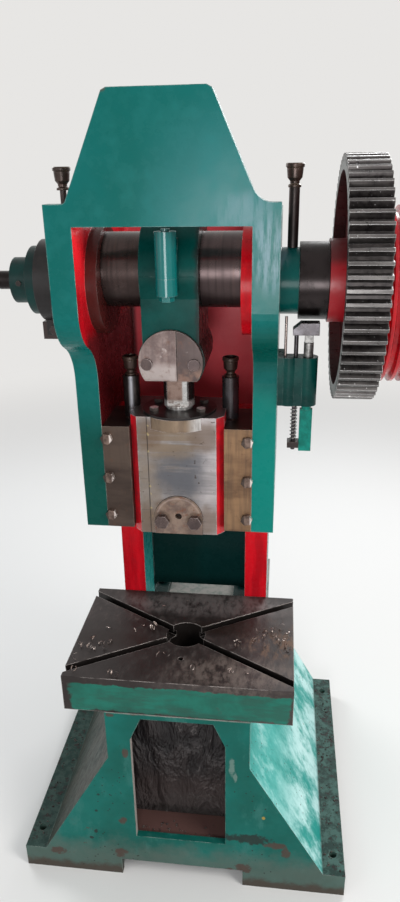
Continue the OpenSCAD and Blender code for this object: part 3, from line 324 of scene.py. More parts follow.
def frame_teal(s, fine):
    """Teal with clouds; on the hood a pale film, partly dust and partly painted reflection; pale brush-stroke
    streaks of painted reflection on the hood and right cheek; painted shade low on the left; darker and
    lighter parts on the right cheek.
    """
    s.colour = s.mix(s.step(s.noise(3.2, 4, 0.6), 0.35, 0.7), TEAL_DEEP, TEAL)
    s.lay((0.004, 0.150, 0.140), s.step(fine, 0.45, 0.75), 0.30)
    # Painted reflection, partly a dust film: a pale bluish patch low on the right of the hood
    film_and_reflection = s.blob((0.085, HEAD_FRONT, 1.57), (0.10, 0.3, 0.11), 0.9, 0.25, 7)
    s.lay((0.040, 0.205, 0.230), film_and_reflection, 0.20)
    # Painted shade: the left half is darker from the lower cheek down
    s.lay((0.000, 0.042, 0.030), s.step(s.x, 0.02, -0.02), s.step(s.z, 1.24, 1.08), 0.80)
    right_cheek = s.step(s.x, 0.12, 0.16)
    s.lay((0.000, 0.165, 0.135), right_cheek, s.step(s.z, 1.24, 1.18), s.side("Y", -1))
    s.lay((0.000, 0.054, 0.040), right_cheek, s.band(s.z, 1.26, 1.34, 0.03), 0.8)
    strokes = s.step(s.noise(60, 5, 0.7, stretch=(1.6, 1, 0.22), shift=14), 0.38, 0.58)
    # Painted reflection: pale bluish patches, streaked like brush strokes, on the right cheek and the hood
    painted_reflection = s.either(
        s.blob((0.178, HEAD_FRONT, 1.475), (0.030, 0.3, 0.060), 0.9, 0.3, 16),
        s.mul(s.blob((0.135, HEAD_FRONT, 1.540), (0.050, 0.3, 0.026), 0.9, 0.3, 16), 0.45),
    )
    s.lay((0.230, 0.320, 0.380), painted_reflection, strokes, 0.55)
    return s.colour


def frame_red(s, fine, inside):
    """Red of the head's inside, with painted light: paler at the back and lit at the upper left; painted
    shade, nearly black, below that.
    """
    runs = s.noise(30, 4, 0.65, stretch=(1, 1, 0.12), shift=10)
    s.colour = s.mix(s.step(runs, 0.38, 0.62), (0.400, 0.004, 0.010), RED)
    s.lay((0.30, 0.010, 0.018), s.step(fine, 0.5, 0.8), 0.3)
    # Painted light: the back wall is paler than the red paint
    s.lay((0.740, 0.085, 0.105), s.step(s.y, 0.05, 0.112), inside)
    left_wall = s.step(s.x, -0.138, -0.148)
    shade = s.mul(s.step(s.z, 1.345, 1.300), s.step(s.y, -0.290, -0.262))
    s.lay((0.040, 0.007, 0.008), left_wall, shade, inside, 0.88)
    lit = s.mul(s.step(s.z, 1.38, 1.46), s.step(s.y, -0.240, -0.285))
    s.lay((0.860, 0.016, 0.026), left_wall, lit, inside)
    boss = s.mul(
        s.step(s.x, -CHEEK_IN + SKIN, -CHEEK_IN + 4 * SKIN),
        s.step(s.x, 0.0, -0.1),
        s.step(s.radial(SLIDE_Y, CRANK_Z), BOSS_R + 4 * SKIN, BOSS_R + 2 * SKIN),
    )
    s.lay((0.026, 0.012, 0.010), boss, 0.93)
    return s.colour


def paint_frame():
    """Enamel of the C-frame: teal outside, red inside the head and on the columns' fronts, with painted light
    and shade in places.
    """
    s = Shader("frame_paint", coat=0.06, specular=0.12)
    edge = s.edges()
    fine = s.noise(38, 4, 0.65, shift=3)
    under_hood = s.mul(s.band(s.y, HEAD_FRONT + 2 * SKIN, WEB_FRONT + SKIN, SKIN),
                       s.step(s.z, HOOD_LOW + 2 * SKIN, HOOD_LOW))
    behind_hood = s.mul(s.band(s.y, HOOD_BACK + SKIN, WEB_FRONT + SKIN, SKIN),
                        s.step(s.z, CHEEK_TOP - SKIN, CHEEK_TOP - 2 * SKIN))
    inside = s.mul(
        s.band(s.x, -CHEEK_IN - SKIN, CHEEK_IN + SKIN, SKIN),
        s.either(under_hood, behind_hood),
        s.step(s.z, HEAD_LOW - 6 * SKIN, HEAD_LOW - 4 * SKIN),
    )
    fronts = s.mul(
        s.step(s.z, HEAD_LOW + SKIN, HEAD_LOW - SKIN),
        s.side("Y", -1),
        s.step(s.y, COLUMN_FRONT + 4 * SKIN, COLUMN_FRONT + 2 * SKIN),
    )
    s.colour = s.mix(s.either(inside, fronts), frame_teal(s, fine), frame_red(s, fine, inside))
    between_columns = s.band(s.x, -COLUMN_IN - SKIN, COLUMN_IN + SKIN, SKIN)
    # Painted shade: the web between the columns, below the head, is nearly black
    s.lay((0.004, 0.016, 0.016), s.step(s.z, 0.9, 0.86), between_columns, s.step(s.y, 0.09, 0.11), 0.85)
    # Painted light: the left column's inside face is bright turquoise
    left_inside = s.band(s.x, -COLUMN_IN - SKIN, -COLUMN_IN + SKIN, SKIN)
    s.lay((0.055, 0.500, 0.470), s.side("X", 1), left_inside, s.step(s.y, 0.112, 0.104))
    hood_corner = s.blob((-0.088, HEAD_FRONT, FRAME_HIGH.z + 0.003), (0.010, 0.5, 0.009), 0.8, 0.5, 90)
    s.lay(RUST, hood_corner, 0.7)
    chips = s.mul(s.step(s.noise(85, 3, 0.6, shift=8), 0.70, 0.74),
                  s.step(s.noise(7, 2, shift=1), 0.55, 0.66))
    s.lay((0.012, 0.030, 0.026), chips, 0.5)
    scratches = s.step(s.noise(26, 5, 0.75, stretch=(1, 1, 9), shift=5), 0.66, 0.70)
    s.lay((0.16, 0.30, 0.28), scratches, s.step(s.noise(5, 2), 0.52, 0.65), 0.25)
    # Pale edge lines: partly worn paint, partly painted highlight
    s.wear_and_highlight(edge, (0.36, 0.50, 0.47), s.grey(inside, 0.70, 0.12), 24, 4, 0.7, hi=0.56)
    s.bump(s.plus(s.mul(fine, 0.5), s.mul(chips, -0.6)), 0.12, 0.0012)
    return s.finish(s.grey(s.step(fine, 0.3, 0.8), 0.22, 0.40))


# Scars on the stand's front plate, and one painted shadow on a ledge: a colour, then X, Z and half sizes of
# each place
SCARS_AND_SHADOW = [
    ((0.070, 0.040, 0.032), [
        (-0.120, 0.392, 0.006, 0.013), (-0.137, 0.181, 0.009, 0.012), (-0.147, 0.499, 0.010, 0.005),
        (-0.097, 0.506, 0.014, 0.004), (0.223, 0.143, 0.024, 0.010), (0.248, 0.122, 0.010, 0.018),
        (-0.148, 0.072, 0.016, 0.014), (0.148, 0.059, 0.018, 0.013), (0.117, 0.047, 0.012, 0.008),
        (-0.302, 0.058, 0.022, 0.012),
    ]),
    ((0.120, 0.190, 0.165), [(0.121, 0.376, 0.006, 0.024), (0.128, 0.346, 0.004, 0.014)]),
    ((0.330, 0.230, 0.040), [(0.194, 0.229, 0.004, 0.005)]),
    ((0.018, 0.020, 0.018), [
        (-0.191, 0.258, 0.004, 0.004), (-0.199, 0.205, 0.005, 0.004), (-0.205, 0.136, 0.004, 0.006),
        # the wide near-black last place is a painted shadow on the ledge right of the window's foot
        (-0.217, 0.114, 0.005, 0.004), (0.160, 0.158, 0.052, 0.015),
    ]),
]


def stand_flares(s):
    """The flared side walls: painted light on the right, turquoise with pale clouds; painted shade on the
    left, dull grey-green.
    """
    streak = s.noise(12, 7, 0.70, stretch=(0.7, 1.1, 0.75), shift=4)
    above_flange = s.step(s.z, FLANGE_TOP - 0.0005, FLANGE_TOP + 0.0005)
    lit_tone = s.mix(s.step(streak, 0.30, 0.62), (0.020, 0.290, 0.250), (0.070, 0.430, 0.385))
    pale = s.either(
        s.mul(s.step(streak, 0.50, 0.70), 0.55),
        s.mul(s.step(s.z, 0.30, 0.14), s.step(streak, 0.36, 0.60), 0.95),
    )
    lit_tone = s.mix(pale, lit_tone, (0.58, 0.84, 0.82))
    # Painted light: the right wall is bright turquoise
    s.lay(lit_tone, s.side("X", 1), s.step(s.x, 0.155, 0.158), above_flange)
    # Painted shade: the left wall is dull grey-green
    shaded_tone = s.mix(s.step(streak, 0.32, 0.70), (0.016, 0.032, 0.026), (0.046, 0.046, 0.037))
    s.lay(shaded_tone, s.side("X", -1), s.step(s.x, -0.155, -0.158), above_flange)


def stand_inside(s, fine):
    """Mask and colour of the stand's inside, whose walls widen to the floor: painted shade, dark grey, with
    its brown shelf.
    """
    half_width = s.either(s.plus(s.mul(s.z, -CAVE_SLOPE), CAVE_FLOOR_HW), CAVE_TOP_HW)
    cave = s.mul(
        s.step(s.minus(half_width, s.abs(s.x)), 0.0, 0.002),
        s.band(s.y, *CAVE_Y, SKIN),
        s.step(s.z, DECK_UNDER + 3 * SKIN, DECK_UNDER + SKIN),
    )
    gloom = s.mix(s.step(fine, 0.4, 0.7), (0.030, 0.026, 0.027), (0.065, 0.050, 0.048))
    shelf = s.mul(s.side("Z", 1), s.band(s.z, SHELF_TOP - 0.003, SHELF_TOP + 0.0015, 0.0005))
    return cave, s.mix(shelf, gloom, (0.105, 0.055, 0.048))


def paint_stand():
    """Scarred and dusty enamel of the stand, with painted light and shade in places."""
    s = Shader("stand_paint", specular=0.12)
    edge = s.edges(0.0025)
    fine = s.noise(46, 5, 0.7, shift=3)
    s.colour = s.mix(s.step(s.noise(5.5, 4, 0.6), 0.35, 0.68), (0.004, 0.085, 0.068), TEAL_GREEN)
    scuff = s.step(s.noise(19, 5, 0.72, stretch=(1, 1, 0.45), shift=6), 0.52, 0.70)
    s.lay((0.040, 0.160, 0.140), scuff, 0.5)
    dusty = s.step(s.plus(s.z, s.mul(s.noise(13, 5, 0.7, shift=17), -0.16)), 0.055, -0.03)
    s.lay((0.115, 0.120, 0.104), dusty, 0.5625)
    stand_flares(s)
    # Tops of the foot flanges: dirt and oily spots, with painted light that makes the right one lighter
    flange_dirt_and_light = s.mix(s.step(s.x, -0.1, 0.1), (0.034, 0.064, 0.054), (0.060, 0.120, 0.104))
    flange_dirt_and_light = s.mix(s.step(fine, 0.40, 0.60), (0.007, 0.030, 0.024), flange_dirt_and_light)
    flange_dirt_and_light = s.mix(s.step(s.noise(70, 3, 0.6, shift=9), 0.56, 0.64), flange_dirt_and_light, (0.016, 0.013, 0.012))
    s.lay(flange_dirt_and_light, s.side("Z", 1), s.step(s.z, 0.075, 0.065), s.step(s.abs(s.x), 0.330, 0.336))
    muddy_foot = s.step(s.plus(s.z, s.mul(s.noise(30, 4, 0.7), -0.045)), 0.012, -0.010)
    s.lay((0.062, 0.046, 0.036), muddy_foot, 0.9)
    front = s.side("Y", -1)
    for tone, places in SCARS_AND_SHADOW:
        scar_and_shadow_mask = 0.0
        for x, z, rx, rz in places:
            scar_and_shadow_mask = s.either(scar_and_shadow_mask, s.blob((x, None, z), (rx, 1, rz), 0.5, 0.95, 90))
        s.lay(tone, scar_and_shadow_mask, front, 0.85)
    dots = s.mul(s.step(s.cells(85, shift=2), 0.20, 0.12), s.step(s.noise(9, 3, shift=7), 0.54, 0.62))
    s.lay((0.016, 0.013, 0.012), dots, 0.85)
    chips = s.mul(s.step(s.noise(60, 4, 0.62, shift=12), 0.65, 0.70),
                  s.step(s.noise(6, 2, shift=2), 0.47, 0.62))
    s.lay((0.075, 0.042, 0.030), chips, 0.7)
    cave, gloom = stand_inside(s, fine)
    s.lay(gloom, cave)
    window_edge = s.mul(s.side("X", 1), s.band(s.y, -0.339, -0.3205, SKIN), s.band(s.x, -0.108, -0.078, SKIN))
    s.lay((0.50, 0.42, 0.39), window_edge, 0.85)
    deck = s.mul(s.side("Z", 1), s.step(s.z, STAND_TOP - 0.002, STAND_TOP - 0.0005))
    s.lay(DUST, deck, s.grey(s.step(fine, 0.35, 0.6), 0.6, 1.0))
    s.wear_and_highlight(edge, (0.36, 0.42, 0.37), s.grey(cave, 0.55, 0.0), 30, 4, 0.7, 0.40, 0.58)
    s.bump(s.plus(s.mul(fine, 0.6), s.mul(s.either(chips, dots), -0.7)), 0.22, 0.0016)
    return s.finish(s.grey(s.step(fine, 0.3, 0.75), 0.34, 0.58))


def paint_plain(name, light, dark, roughness, coat, wear_and_highlight=(0.40, 0.52, 0.49), edge_tone_share=0.5, dirt=0.3):
    """Enamel with clouds, a little dirt and worn edges."""
    s = Shader(name, coat=coat, specular=0.14)
    edge = s.edges(0.0018)
    fine = s.noise(52, 4, 0.65, shift=3)
    s.colour = s.mix(s.step(s.noise(9, 4, 0.6), 0.35, 0.68), dark, light)
    s.lay(OIL_AND_SHADE, s.step(s.noise(23, 5, 0.7, shift=5), 0.52, 0.72), dirt)
    s.wear_and_highlight(edge, wear_and_highlight, edge_tone_share, 34, 4, 0.7, 0.40, 0.60)
    s.bump(fine, 0.14, 0.0012)
    return s.finish(s.grey(s.step(fine, 0.3, 0.8), roughness - 0.08, roughness + 0.12))


def paint_rod():
    """Green of the connecting rod: glossy and painted lighter on the bolt boss, a painted highlight; darker
    low down and on the right.
    """
    s = Shader("rod_paint", specular=0.08)
    edge = s.edges(0.0018)
    fine = s.noise(52, 4, 0.65, shift=3)
    s.colour = s.mix(s.step(s.noise(9, 4, 0.6), 0.35, 0.68), (0.000, 0.034, 0.029), (0.001, 0.058, 0.050))
    boss = s.mul(s.step(s.abs(s.x), 0.0206, 0.0196), s.step(s.y, -0.262, -0.272))
    # Painted highlight: the bolt boss is lighter than the rod
    s.lay((0.002, 0.120, 0.115), boss)
    # Darker on the right side and in spots low down
    darker_right_and_low = s.either(
        s.step(s.plus(s.x, s.mul(s.noise(30, 4, 0.7, shift=6), 0.02)), 0.052, 0.062),
        s.mul(s.step(s.noise(19, 5, 0.7, shift=5), 0.54, 0.70), s.step(s.z, 1.30, 1.27), 0.8),
    )
    s.lay((0.016, 0.018, 0.017), darker_right_and_low, 0.85)
    s.wear_and_highlight(edge, (0.30, 0.45, 0.42), 0.35, 34, 4, 0.7, 0.40, 0.60)
    s.bump(fine, 0.16, 0.0012)
    s.put(s.mul(boss, 0.7), s.bsdf.inputs["Coat Weight"])
    return s.finish(s.grey(s.step(fine, 0.3, 0.8), 0.22, 0.40))


def paint_trip_bar():
    """Green bar, bare and grey above the bracket."""
    s = Shader("trip_bar", coat=0.05, specular=0.12)
    edge = s.edges(0.0015)
    fine = s.noise(60, 4, 0.65, shift=3)
    cloud = s.step(fine, 0.40, 0.66)
    green = s.mix(cloud, (0.002, 0.120, 0.092), (0.004, 0.190, 0.150))
    steel = s.mix(cloud, (0.150, 0.145, 0.140), (0.360, 0.350, 0.340))
    bare = s.step(s.z, 1.270, 1.274)
    s.colour = s.mix(bare, green, steel)
    s.wear_and_highlight(edge, (0.40, 0.44, 0.42), 0.4)
    s.bump(fine, 0.15, 0.001)
    return s.finish(s.grey(fine, 0.28, 0.46), s.mul(bare, 0.6))


ROUND_X = (1, 0.03, 0.03)  # how noise is drawn out for rings on a shaft along X
UPRIGHT = (1, 1, 0.2)  # and for upright marks


def turned_steel(name, light, dark, roughness, metallic=0.75, rings=0.35, rust=0.2, axis=ROUND_X,
                 wear_and_highlight=(0.36, 0.31, 0.28), edge_tone_share=0.5):
    """Turned or ground steel with fine marks along one direction, stains and bright edges."""
    s = Shader(name, metallic=metallic)
    edge = s.edges(0.0015)
    marks = s.noise(160, 3, 0.6, stretch=axis)
    stain = s.noise(14, 5, 0.65, shift=4)
    s.colour = s.mix(s.step(stain, 0.34, 0.68), dark, light)
    s.lay(tuple(c * 0.45 for c in dark), s.step(marks, 0.40, 0.66), rings)
    s.lay(RUST, s.step(s.noise(31, 4, 0.7, shift=7), 0.58, 0.72), rust)
    s.wear_and_highlight(edge, wear_and_highlight, edge_tone_share)
    s.bump(s.plus(s.mul(marks, 0.7), s.mul(stain, 0.4)), 0.10, 0.0008)
    return s.finish(s.grey(s.step(stain, 0.3, 0.7), roughness + 0.10, roughness - 0.06))


def steel_crank():
    """Oily turned steel: brown with fine rings inside the head, nearly black outside it."""
    s = Shader("crank_steel", metallic=0.75)
    edge = s.edges(0.0015)
    rings = s.noise(170, 3, 0.6, stretch=ROUND_X)
    bands = s.noise(40, 3, 0.6, stretch=ROUND_X, shift=9)
    stain = s.noise(14, 5, 0.65, shift=4)
    s.colour = s.mix(s.step(stain, 0.34, 0.68), (0.034, 0.021, 0.019), (0.062, 0.041, 0.038))
    # Painted highlight: the right web is lighter
    s.lay((0.080, 0.056, 0.057), s.step(s.x, 0.0, 0.04), s.step(s.x, 0.16, 0.14), 0.6)
    s.lay((0.130, 0.070, 0.045), s.step(bands, 0.58, 0.68), 0.35)
    s.lay((0.018, 0.012, 0.011), s.step(rings, 0.46, 0.68), 0.45)
    outer = s.mix(s.step(stain, 0.36, 0.66), (0.009, 0.006, 0.006), (0.028, 0.021, 0.021))
    s.lay(outer, s.step(s.abs(s.x), 0.18, 0.20))
    s.wear_and_highlight(edge, (0.30, 0.25, 0.23), 0.45)
    s.bump(s.plus(s.mul(rings, 0.7), s.mul(stain, 0.4)), 0.12, 0.0008)
    return s.finish(s.grey(s.step(stain, 0.3, 0.7), 0.36, 0.22))


def steel_bolster():
    """Oily, stained bolster: bright at the edges, with what is left of green paint on its front."""
    s = Shader("bolster_steel", specular=0.3)
    edge = s.edges(0.0025)
    cloud = s.noise(7, 5, 0.65, shift=2)
    fine = s.noise(70, 5, 0.72, stretch=(1, 0.5, 1), shift=3)
    s.colour = s.mix(s.step(cloud, 0.32, 0.68), (0.022, 0.017, 0.016), (0.050, 0.038, 0.036))
    s.lay((0.105, 0.085, 0.078), s.step(fine, 0.50, 0.70), 0.5)
    rubbed_back = s.blob((0.03, -0.045, None), (0.20, 0.045, 1), 0.8, 0.3, 12)
    s.lay((0.190, 0.165, 0.160), rubbed_back, s.step(fine, 0.28, 0.58), 0.7)
    rubbed_front = s.blob((0.12, -0.290, None), (0.14, 0.050, 1), 0.8, 0.3, 12)
    s.lay((0.150, 0.118, 0.102), rubbed_front, s.step(fine, 0.34, 0.62), 0.7)
    ochre = s.blob((0.205, -0.17, None), (0.065, 0.065, 1), 0.9, 0.4, 20)
    s.lay((0.170, 0.090, 0.050), ochre, s.step(fine, 0.42, 0.66), 0.6)
    oil = s.either(
        s.blob((0.13, -0.135, None), (0.11, 0.030, 1), 0.8, 0.35, 25),
        s.blob((-0.17, -0.20, None), (0.09, 0.030, 1), 0.8, 0.35, 25),
    )
    s.lay((0.024, 0.014, 0.011), oil, 0.8)
    s.lay((0.014, 0.010, 0.009), s.step(s.x, 0.02, -0.10), s.step(s.y, -0.10, -0.16), 0.55)
    in_slots = s.mul(
        s.step(s.z, PLATE_HIGH.z - 4 * SKIN, PLATE_HIGH.z - 7 * SKIN),
        s.band(s.x, PLATE_LOW.x + 2 * SKIN, PLATE_HIGH.x - 2 * SKIN, SKIN),
        s.band(s.y, PLATE_LOW.y + 2 * SKIN, PLATE_HIGH.y - 2 * SKIN, SKIN),
    )
    # Painted shade: the T-slots and the knock-out hole are near black
    s.lay(OIL_AND_SHADE, in_slots)
    ragged = s.mul(s.minus(s.noise(26, 4, 0.7, shift=9), 0.5), 0.022)
    painted = s.mul(
        s.side("Y", -1),
        s.invert(in_slots),
        s.step(s.plus(s.z, ragged), 0.579, 0.5765),
        s.band(s.plus(s.x, s.mul(ragged, 2.0)), -0.232, 0.243, 0.004),
        s.step(s.plus(s.z, s.mul(ragged, 1.4)), 0.506, 0.511),
        s.invert(s.mul(s.step(s.noise(17, 5, 0.7, shift=13), 0.60, 0.72), 0.7)),
    )
    green = s.mix(s.step(cloud, 0.36, 0.62), (0.002, 0.080, 0.056), (0.003, 0.130, 0.092))
    stroke = s.step(s.noise(22, 5, 0.7, stretch=(0.35, 1, 1.6), shift=27), 0.46, 0.64)
    s.lay(s.mix(s.mul(stroke, 0.55), green, (0.014, 0.052, 0.038)), painted)
    s.wear_and_highlight(edge, (0.52, 0.47, 0.44), 0.75, 18, 3, 0.6, 0.36, 0.50)
    s.bump(s.plus(fine, s.mul(cloud, 0.5)), 0.30, 0.0014)
    rough = s.grey(s.either(s.step(fine, 0.35, 0.7), painted), 0.34, 0.55)
    return s.finish(rough, s.grey(painted, 0.3, 0.0))


# Brown patches on the slide's front: X, Z and half sizes
SLIDE_PATCHES = [
    (-0.066, 0.918, 0.024, 0.040), (0.062, 0.925, 0.028, 0.034), (-0.060, 1.115, 0.030, 0.030),
    (0.058, 1.112, 0.034, 0.030), (-0.022, 0.960, 0.030, 0.012),
]


def slide_stains(s, broad, brushed):
    """Grinding marks, smudges and brown patches of the slide."""
    s.lay((0.520, 0.480, 0.490), s.step(s.x, 0.015, 0.060), 0.65)
    s.lay((0.170, 0.158, 0.158), s.step(broad, 0.46, 0.62), 0.35)
    s.lay((0.130, 0.120, 0.117), s.step(brushed, 0.48, 0.68), 0.30)
    smudge = s.blob((0.006, None, 1.030), (0.050, 1, 0.066), 0.9, 0.5, 26)
    streaks = s.step(s.noise(60, 4, 0.65, stretch=(0.16, 1, 1), shift=31), 0.42, 0.60)
    s.lay((0.085, 0.090, 0.106), smudge, s.either(s.step(broad, 0.34, 0.54), streaks), 0.85)
    ochre_top = s.blob((-0.016, None, 1.098), (0.066, 1, 0.032), 0.9, 0.5, 24)
    s.lay((0.200, 0.145, 0.098), ochre_top, s.step(brushed, 0.28, 0.54), 0.8)
    s.lay((0.200, 0.160, 0.125), s.blob((-0.058, None, 0.965), (0.022, 1, 0.085), 0.9, 0.4, 24), 0.35)
    for x, z, rx, rz in SLIDE_PATCHES:
        s.lay((0.140, 0.090, 0.058), s.blob((x, None, z), (rx, 1, rz), 0.8, 0.4, 40), 0.7)


def steel_slide():
    """Ground front of the slide with its scribed line, a dirty lip with a painted highlight on its right, a
    dirty top, and red flanks.
    """
    s = Shader("slide_steel")
    edge = s.edges(0.0018)
    brushed = s.noise(120, 4, 0.6, stretch=(0.05, 1, 1), shift=1)
    broad = s.noise(26, 4, 0.65, stretch=(0.10, 1, 1), shift=15)
    stain = s.noise(11, 5, 0.7, shift=6)
    s.colour = s.mix(s.step(stain, 0.34, 0.66), (0.205, 0.165, 0.135), (0.320, 0.300, 0.298))
    slide_stains(s, broad, brushed)
    flat = s.mul(s.side("Y", -1), s.band(s.y, RAM_FRONT - 2 * SKIN, RAM_FRONT + 2 * SKIN, SKIN))
    s.lay((0.030, 0.024, 0.022), s.band(s.x, -0.060, -0.058, 0.0005), flat, 0.85)
    crusts = s.mul(s.band(s.x, -0.059, -0.0545, 0.0015), s.step(s.noise(75, 3, 0.6, shift=19), 0.56, 0.62))
    s.lay((0.420, 0.330, 0.160), crusts, flat, 0.7)
    scratches = s.step(s.noise(30, 2, 0.5, stretch=(1, 1, 8), shift=11), 0.68, 0.72)
    s.lay((0.080, 0.070, 0.065), scratches, flat, 0.5)
    s.lay((0.050, 0.034, 0.028), s.step(s.noise(85, 3, 0.6, shift=23), 0.68, 0.72), flat, 0.8)
    lip = s.mul(s.step(s.y, RAM_FRONT - 2 * SKIN, RAM_FRONT - 5 * SKIN),
                s.step(s.z, RAM_LIP_LOW - 3 * SKIN, RAM_LIP_LOW))
    # The lip: brown stains and drips, with a painted highlight on its right
    lip_stain_and_highlight = s.mix(s.step(s.x, 0.020, 0.048), (0.230, 0.165, 0.112), (0.640, 0.620, 0.610))
    drips = s.step(s.noise(60, 4, 0.7, stretch=(1, 1, 0.25), shift=21), 0.42, 0.66)
    s.lay(s.mix(s.mul(drips, 0.6), lip_stain_and_highlight, (0.120, 0.085, 0.062)), lip)
    top = s.mul(s.side("Z", 1), s.step(s.z, 1.120, 1.126))
    s.lay((0.024, 0.020, 0.019), top, 0.9)
    flank = s.mul(
        s.step(s.abs(s.x), RAM_FLAT_HW + 2 * SKIN, RAM_FLAT_HW + 3 * SKIN),
        s.step(s.z, RAM_HIGH.z - SKIN, RAM_HIGH.z - 3 * SKIN),
        s.step(s.z, RAM_LOW.z + 2 * SKIN, RAM_LOW.z + 3 * SKIN),
        s.invert(top),
    )
    s.lay(s.mix(s.step(s.noise(20, 4, 0.6), 0.36, 0.66), RED_DARK, RED), flank)
    # Bright edges, the chamfer's pinkish line among them: partly wear, partly painted highlight
    s.wear_and_highlight(edge, (0.86, 0.74, 0.74), 0.85, 36, 3, 0.6, 0.34, 0.56)
    s.bump(s.plus(brushed, s.mul(stain, 0.4)), 0.10, 0.0008)
    rough = s.grey(s.step(stain, 0.3, 0.7), 0.44, 0.28)
    return s.finish(rough, s.grey(s.either(flank, top), 0.7, 0.0))


def steel_gib():
    """Guides: dark brown on the left, ochre on the right, oily on top."""
    s = Shader("gib_steel", metallic=0.45, specular=0.35)
    edge = s.edges(0.0018)
    bands = s.noise(13, 4, 0.65, stretch=(0.3, 1, 1), shift=5)
    grain = s.noise(150, 3, 0.6, stretch=(1, 1, 0.06), shift=3)
    left = s.mix(s.step(bands, 0.38, 0.62), (0.034, 0.021, 0.016), (0.074, 0.050, 0.038))
    right = s.mix(s.step(bands, 0.38, 0.62), (0.100, 0.052, 0.028), (0.240, 0.138, 0.072))
    s.colour = s.mix(s.step(s.x, -0.01, 0.01), left, right)
    s.lay((0.045, 0.030, 0.024), s.step(grain, 0.42, 0.66), 0.35)
    s.lay((0.090, 0.045, 0.028), s.step(s.noise(48, 4, 0.7, shift=8), 0.58, 0.66), 0.45)
    top = s.step(s.z, GIB_HIGH.z - 5 * SKIN, GIB_HIGH.z - 2 * SKIN)
    s.lay((0.014, 0.011, 0.010), s.side("Z", 1), top, 0.9)
    s.wear_and_highlight(edge, (0.40, 0.33, 0.29), 0.5, lo=0.34, hi=0.56)
    s.bump(s.plus(grain, bands), 0.12, 0.0008)
    return s.finish(s.grey(s.step(bands, 0.3, 0.7), 0.48, 0.34))


def steel_screw():
    """Ball screw: rusty in front, with a painted highlight as a pale strip on the right, pale at the foot,
    and painted shade, nearly black, on its sides.
    """
    s = Shader("screw_steel", metallic=0.6)
    edge = s.edges(0.0015)
    stain = s.noise(40, 5, 0.7, shift=4)
    s.colour = s.mix(s.step(stain, 0.42, 0.60), (0.130, 0.078, 0.060), (0.250, 0.170, 0.140))
    # Painted highlight: a pale upright strip
    s.lay((0.420, 0.410, 0.400), s.step(s.x, 0.008, 0.011))
    # Painted shade: the sides nearly black
    s.lay((0.020, 0.016, 0.015), s.either(s.step(s.x, -0.019, -0.022), s.step(s.x, 0.018, 0.020)))
    s.lay((0.520, 0.500, 0.480), s.step(s.z, 1.180, 1.170), s.step(stain, 0.36, 0.52))
    s.wear_and_highlight(edge, (0.70, 0.66, 0.64), 0.5)
    s.bump(stain, 0.2, 0.0008)
    return s.finish(s.grey(s.step(stain, 0.3, 0.7), 0.36, 0.22))


def steel_flange_bolts():
    """Front heads with a painted highlight on their tops; the heads behind the screw and all sides stay dark.
    """
    s = Shader("flange_bolt_steel", metallic=0.6)
    s.edges(0.0012)
    stain = s.noise(60, 4, 0.7, shift=4)
    # Painted highlight on the tops of the heads in front of the screw
    top = s.mul(s.side("Z", 1), s.step(s.y, SLIDE_Y - 0.004, SLIDE_Y - 0.012))
    lit_tone = s.mix(s.step(stain, 0.40, 0.60), (0.700, 0.660, 0.640), (0.950, 0.940, 0.930))
    s.colour = s.mix(top, (0.085, 0.070, 0.064), lit_tone)
    return s.finish(s.grey(stain, 0.22, 0.40))


def steel_gib_bolts():
    """Dark brown heads with a painted highlight on their right side and painted shade on their left."""
    s = Shader("gib_bolt_steel", metallic=0.6)
    s.edges(0.0012)
    stain = s.noise(50, 4, 0.7, shift=4)
    s.colour = s.mix(s.step(stain, 0.36, 0.62), (0.070, 0.045, 0.036), (0.190, 0.130, 0.105))

    def sides(right_head, left_head, reach):
        """1 on one side of the heads on both gibs."""
        near = [s.step(s.abs(s.minus(s.x, x)), reach, reach - 0.0015) for x in (right_head, left_head)]
        return s.either(*near)

    # Painted highlight on the heads' right sides
    s.lay((0.640, 0.560, 0.520), sides(0.1515, -0.131, 0.0045), s.step(stain, 0.30, 0.50))
    # Painted shade on the heads' left sides
    s.lay((0.030, 0.022, 0.018), sides(0.132, -0.151, 0.005), 0.8)
    s.bump(stain, 0.2, 0.0008)
    return s.finish(s.grey(stain, 0.22, 0.42))


def steel_left_post():
    """Oily post with a painted upright highlight beside the slide."""
    s = Shader("left_post_steel", metallic=0.7)
    stain = s.noise(30, 4, 0.7, shift=4)
    s.colour = s.mix(s.step(stain, 0.36, 0.66), (0.026, 0.021, 0.021), (0.056, 0.046, 0.044))
    # Painted highlight: a pale upright strip
    s.lay((0.330, 0.330, 0.360), s.band(s.x, -0.104, -0.096, 0.003), s.step(stain, 0.28, 0.50), 0.8)
    return s.finish(s.grey(stain, 0.22, 0.36))


def rod_plate_stains(s, stain):
    """The D-shaped plate on the rod: pale low on the left, dark and rusty on the right."""
    s.lay((0.330, 0.285, 0.270), s.band(s.z, 1.238, 1.268, 0.008), s.step(s.x, 0.014, 0.006), 0.75)
    streaks = s.step(s.noise(110, 4, 0.6, stretch=(1, 1, 0.1)), 0.40, 0.62)
    s.lay((0.085, 0.058, 0.056), s.step(s.z, 1.268, 1.278), streaks, 0.6)
    right_half = s.mul(s.step(s.x, 0.011, 0.013), s.step(s.z, 1.20, 1.22))
    s.lay((0.046, 0.030, 0.028), right_half, 0.85)
    s.lay((0.185, 0.105, 0.075), right_half, s.step(s.z, 1.268, 1.250), s.step(stain, 0.40, 0.56), 0.7)


